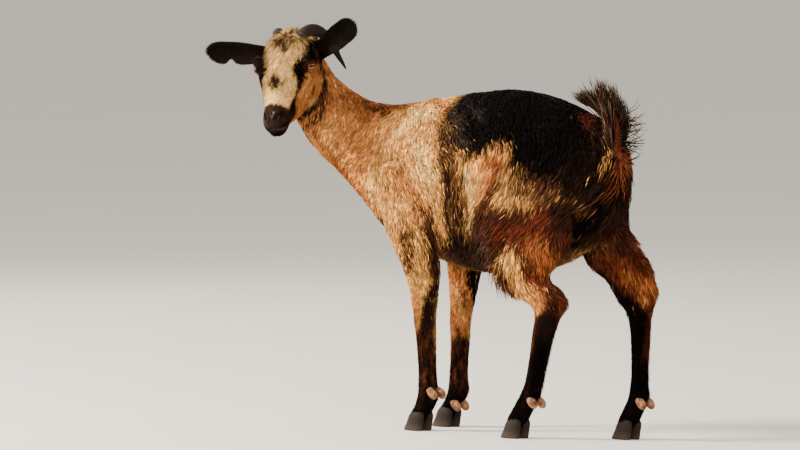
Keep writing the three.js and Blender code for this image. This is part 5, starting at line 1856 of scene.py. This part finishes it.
def dewclaw_material():
    """Rough tan horn."""
    look = Finish("dewclaw")
    grain = look.grain(240, detail=5)
    stained = look.grain(110, detail=3).above(0.5, 0.12)
    tone = look.blend(stained * 0.75 + grain * 0.25, screen(70, 40, 26), screen(150, 108, 72))
    look.bump(grain, 0.7, 0.0012)
    return look.finish(Base_Color=tone, Roughness=0.7, Specular_IOR_Level=0.12)


def eye_material():
    """An amber eye with a level, slot-shaped pupil and a brown rim."""
    look = Finish("eye")
    level, tall = look.number("Level"), look.number("Tall")
    far = (level * level + tall * tall).root()
    streaks = look.grain(900, detail=3)
    slot = (level.size() / 5.5) ** 4.0 + (tall.size() / 2.0) ** 4.0
    amber = look.blend(streaks, screen(132, 74, 38), screen(186, 118, 70))
    amber = look.blend(far.above(6.6, 1.2), amber, screen(74, 40, 26))
    tone = look.blend(far.above(9.4, 0.8), amber, screen(84, 48, 34))
    tone = look.blend(1 - slot.above(1.0, 0.25), tone, screen(8, 7, 8))
    return look.finish(Base_Color=tone, Roughness=0.2, Specular_IOR_Level=0.2)


def floor_material():
    """A plain pale floor."""
    look = Finish("floor")
    grain = look.grain(3.0, detail=4)
    tone = look.blend(grain, screen(214, 208, 198), screen(222, 217, 208))
    return look.finish(Base_Color=tone, Roughness=0.9)


# ================================================================ operators

class GoatSettings(bpy.types.PropertyGroup):
    """Sizes and colours that a user would change."""

    voxel: FloatProperty(name="Skin detail", description="Size of the cells that the skin is fused from",
                         default=0.0048, min=0.003, max=0.01, unit="LENGTH")
    density: FloatProperty(name="Coat density", description="Share of the coat's full number of tufts",
                           default=1.0, min=0.05, max=1.5)
    clump: IntProperty(name="Clump size", description="Tufts that lean together in one clump",
                       default=26, min=2)
    lens: FloatProperty(name="Lens", description="Focal length of the camera in millimetres", default=800.0)
    azimuth: FloatProperty(name="Azimuth", default=VIEW_TURN,
                           description="Camera's turn round the goat from its left side, in degrees")
    elevation: FloatProperty(name="Elevation", description="Camera's height angle in degrees",
                             default=VIEW_RISE)
    light: FloatVectorProperty(name="Light colour", description="Colour of the main light", subtype="COLOR",
                               default=(1.0, 0.93, 0.82), min=0.0, max=1.0)


class GOAT_OT_materials(bpy.types.Operator):
    """Make the finishes of the goat"""

    bl_idname = "goat.materials"
    bl_label = "Finishes"

    def execute(self, context):
        made["materials"] = {
            "skin": skin_material(), "coat": coat_material(), "horn": horn_material(),
            "hoof": hoof_material(), "dewclaw": dewclaw_material(), "eye": eye_material(),
            "floor": floor_material(),
        }
        return {"FINISHED"}


class GOAT_OT_skin(bpy.types.Operator):
    """Fuse the body into one skin and paint its markings"""

    bl_idname = "goat.skin"
    bl_label = "Skin"

    def execute(self, context):
        flesh = ["torso", "neck", "head", "lower_jaw", "tail"]
        for hand in HANDS:
            flesh += [f"foreleg_{hand}", f"fore_cannon_{hand}", f"hindleg_{hand}", f"hind_cannon_{hand}"]
        finish_piece(make_skin(context.scene.goat), "skin", "tan_coat", *flesh)
        return {"FINISHED"}


class GOAT_OT_coat(bpy.types.Operator):
    """Grow the coat of tufts over the skin"""

    bl_idname = "goat.coat"
    bl_label = "Coat"

    def execute(self, context):
        make_coat(context.scene.goat)
        return {"FINISHED"}


class GOAT_OT_tail(bpy.types.Operator):
    """Grow the long hair of the tail"""

    bl_idname = "goat.tail"
    bl_label = "Tail hair"

    def execute(self, context):
        make_tail_hair()
        return {"FINISHED"}


class GOAT_OT_ears(bpy.types.Operator):
    """Make both ears and their short hair"""

    bl_idname = "goat.ears"
    bl_label = "Ears"

    def execute(self, context):
        for hand in HANDS:
            make_ear_coat(hand, *make_ear(hand))
        return {"FINISHED"}


class GOAT_OT_horns(bpy.types.Operator):
    """Make both horns"""

    bl_idname = "goat.horns"
    bl_label = "Horns"

    def execute(self, context):
        for hand in HANDS:
            make_horn(hand)
        return {"FINISHED"}


class GOAT_OT_eyes(bpy.types.Operator):
    """Make both eyes"""

    bl_idname = "goat.eyes"
    bl_label = "Eyes"

    def execute(self, context):
        for hand in HANDS:
            make_eye(hand)
        return {"FINISHED"}


class GOAT_OT_feet(bpy.types.Operator):
    """Make the claws and dewclaws of all four feet"""

    bl_idname = "goat.feet"
    bl_label = "Feet"

    def execute(self, context):
        for name in LEG_PATH:
            make_hooves(name)
        return {"FINISHED"}


LIT = [0, 0, 0.4]  # the goat's middle, in metres


def put(name, data, at, columns):
    """A light or camera in the scene, with its place and the ways its axes point."""
    obj = bpy.data.objects.new(name, data)
    matrix = Matrix.Translation(at)
    for column, axis in enumerate(columns):
        for row in range(3):
            matrix[row][column] = float(axis[row])
    obj.matrix_world = matrix
    bpy.context.scene.collection.objects.link(obj)
    return obj


def area_light(name, at, size, power, colour):
    """A square soft light that points at the goat's middle."""
    data = bpy.data.lights.new(name, "AREA")
    data.shape = "SQUARE"
    data.size = size
    data.energy = power
    data.color = colour
    back = unit(np.array(at) - LIT)
    side = unit(np.cross([0, 0, 1.0], back))
    put(name, data, at, (side, np.cross(back, side), back))


# Lights: name, place and size in metres, and power in watts.
KEY = ("key", (-2.6, -3.6, 2.9), 1.6, 860)
FILL = ("fill", (3.9, -2.6, 2.4), 3.0, 210)
FRONT = ("front", (-4.2, 1.0, 2.6), 3.0, 120)
FRAME_WIDTH = 800  # the picture's width in pixels
PIXELS_PER_MM = 0.55
SENSOR = 36
FAR_CLIP = 200  # in metres
FLOOR_RADIUS = 60.0
SKY = (0.90, 0.87, 0.82, 1)
AIM = {"right": -72.7, "height": 371.4}  # what the camera points at, from under the withers


class GOAT_OT_stage(bpy.types.Operator):
    """Lay the floor and set the lights and the camera"""

    bl_idname = "goat.stage"
    bl_label = "Stage"

    def execute(self, context):
        settings = context.scene.goat
        bm = bmesh.new()
        bmesh.ops.create_circle(bm, cap_ends=True, segments=96, radius=FLOOR_RADIUS)
        floor = object_from("floor", bm)
        floor.data.materials.append(made["materials"]["floor"])
        world = bpy.data.worlds.new("studio")
        world.use_nodes = True
        sky = world.node_tree.nodes["Background"]
        sky.inputs["Color"].default_value = SKY
        sky.inputs["Strength"].default_value = 1.0
        context.scene.world = world
        area_light(*KEY, settings.light)
        area_light(*FILL, (1.0, 0.97, 0.93))
        area_light(*FRONT, (1.0, 0.97, 0.92))
        turn, rise = radians(settings.azimuth), radians(settings.elevation)
        right = np.array([cos(turn), sin(turn), 0])
        level = cos(rise)
        away = np.array([-sin(turn) * level, cos(turn) * level, -sin(rise)])
        up = np.cross(right, away)
        distance = settings.lens / SENSOR * FRAME_WIDTH / PIXELS_PER_MM * MM
        target = placed(right * AIM["right"] + np.array([0, 0, AIM["height"]]))
        data = bpy.data.cameras.new("camera")
        data.lens = settings.lens
        data.sensor_width = SENSOR
        data.clip_end = FAR_CLIP
        context.scene.camera = put("camera", data, target - away * distance, (right, up, -away))
        return {"FINISHED"}


class GOAT_PT_panel(bpy.types.Panel):
    """The goat's pieces and settings"""

    bl_idname = "GOAT_PT_panel"
    bl_label = "Goat"
    bl_space_type = "VIEW_3D"
    bl_region_type = "UI"
    bl_category = "Goat"

    def draw(self, context):
        for name in GoatSettings.__annotations__:
            self.layout.prop(context.scene.goat, name)
        for operator in OPERATORS:
            self.layout.operator(operator.bl_idname)


OPERATORS = (GOAT_OT_materials, GOAT_OT_skin, GOAT_OT_coat, GOAT_OT_tail, GOAT_OT_ears, GOAT_OT_horns,
             GOAT_OT_eyes, GOAT_OT_feet, GOAT_OT_stage)
CLASSES = (GoatSettings, *OPERATORS, GOAT_PT_panel)


def register():
    for cls in CLASSES:
        bpy.utils.register_class(cls)
    bpy.types.Scene.goat = PointerProperty(type=GoatSettings)


def unregister():
    del bpy.types.Scene.goat
    for cls in reversed(CLASSES):
        bpy.utils.unregister_class(cls)


def main():
    """Builds everything."""
    register()
    for operator in OPERATORS:
        group, name = operator.bl_idname.split(".")
        getattr(getattr(bpy.ops, group), name)()


if __name__ == "__main__":
    main()
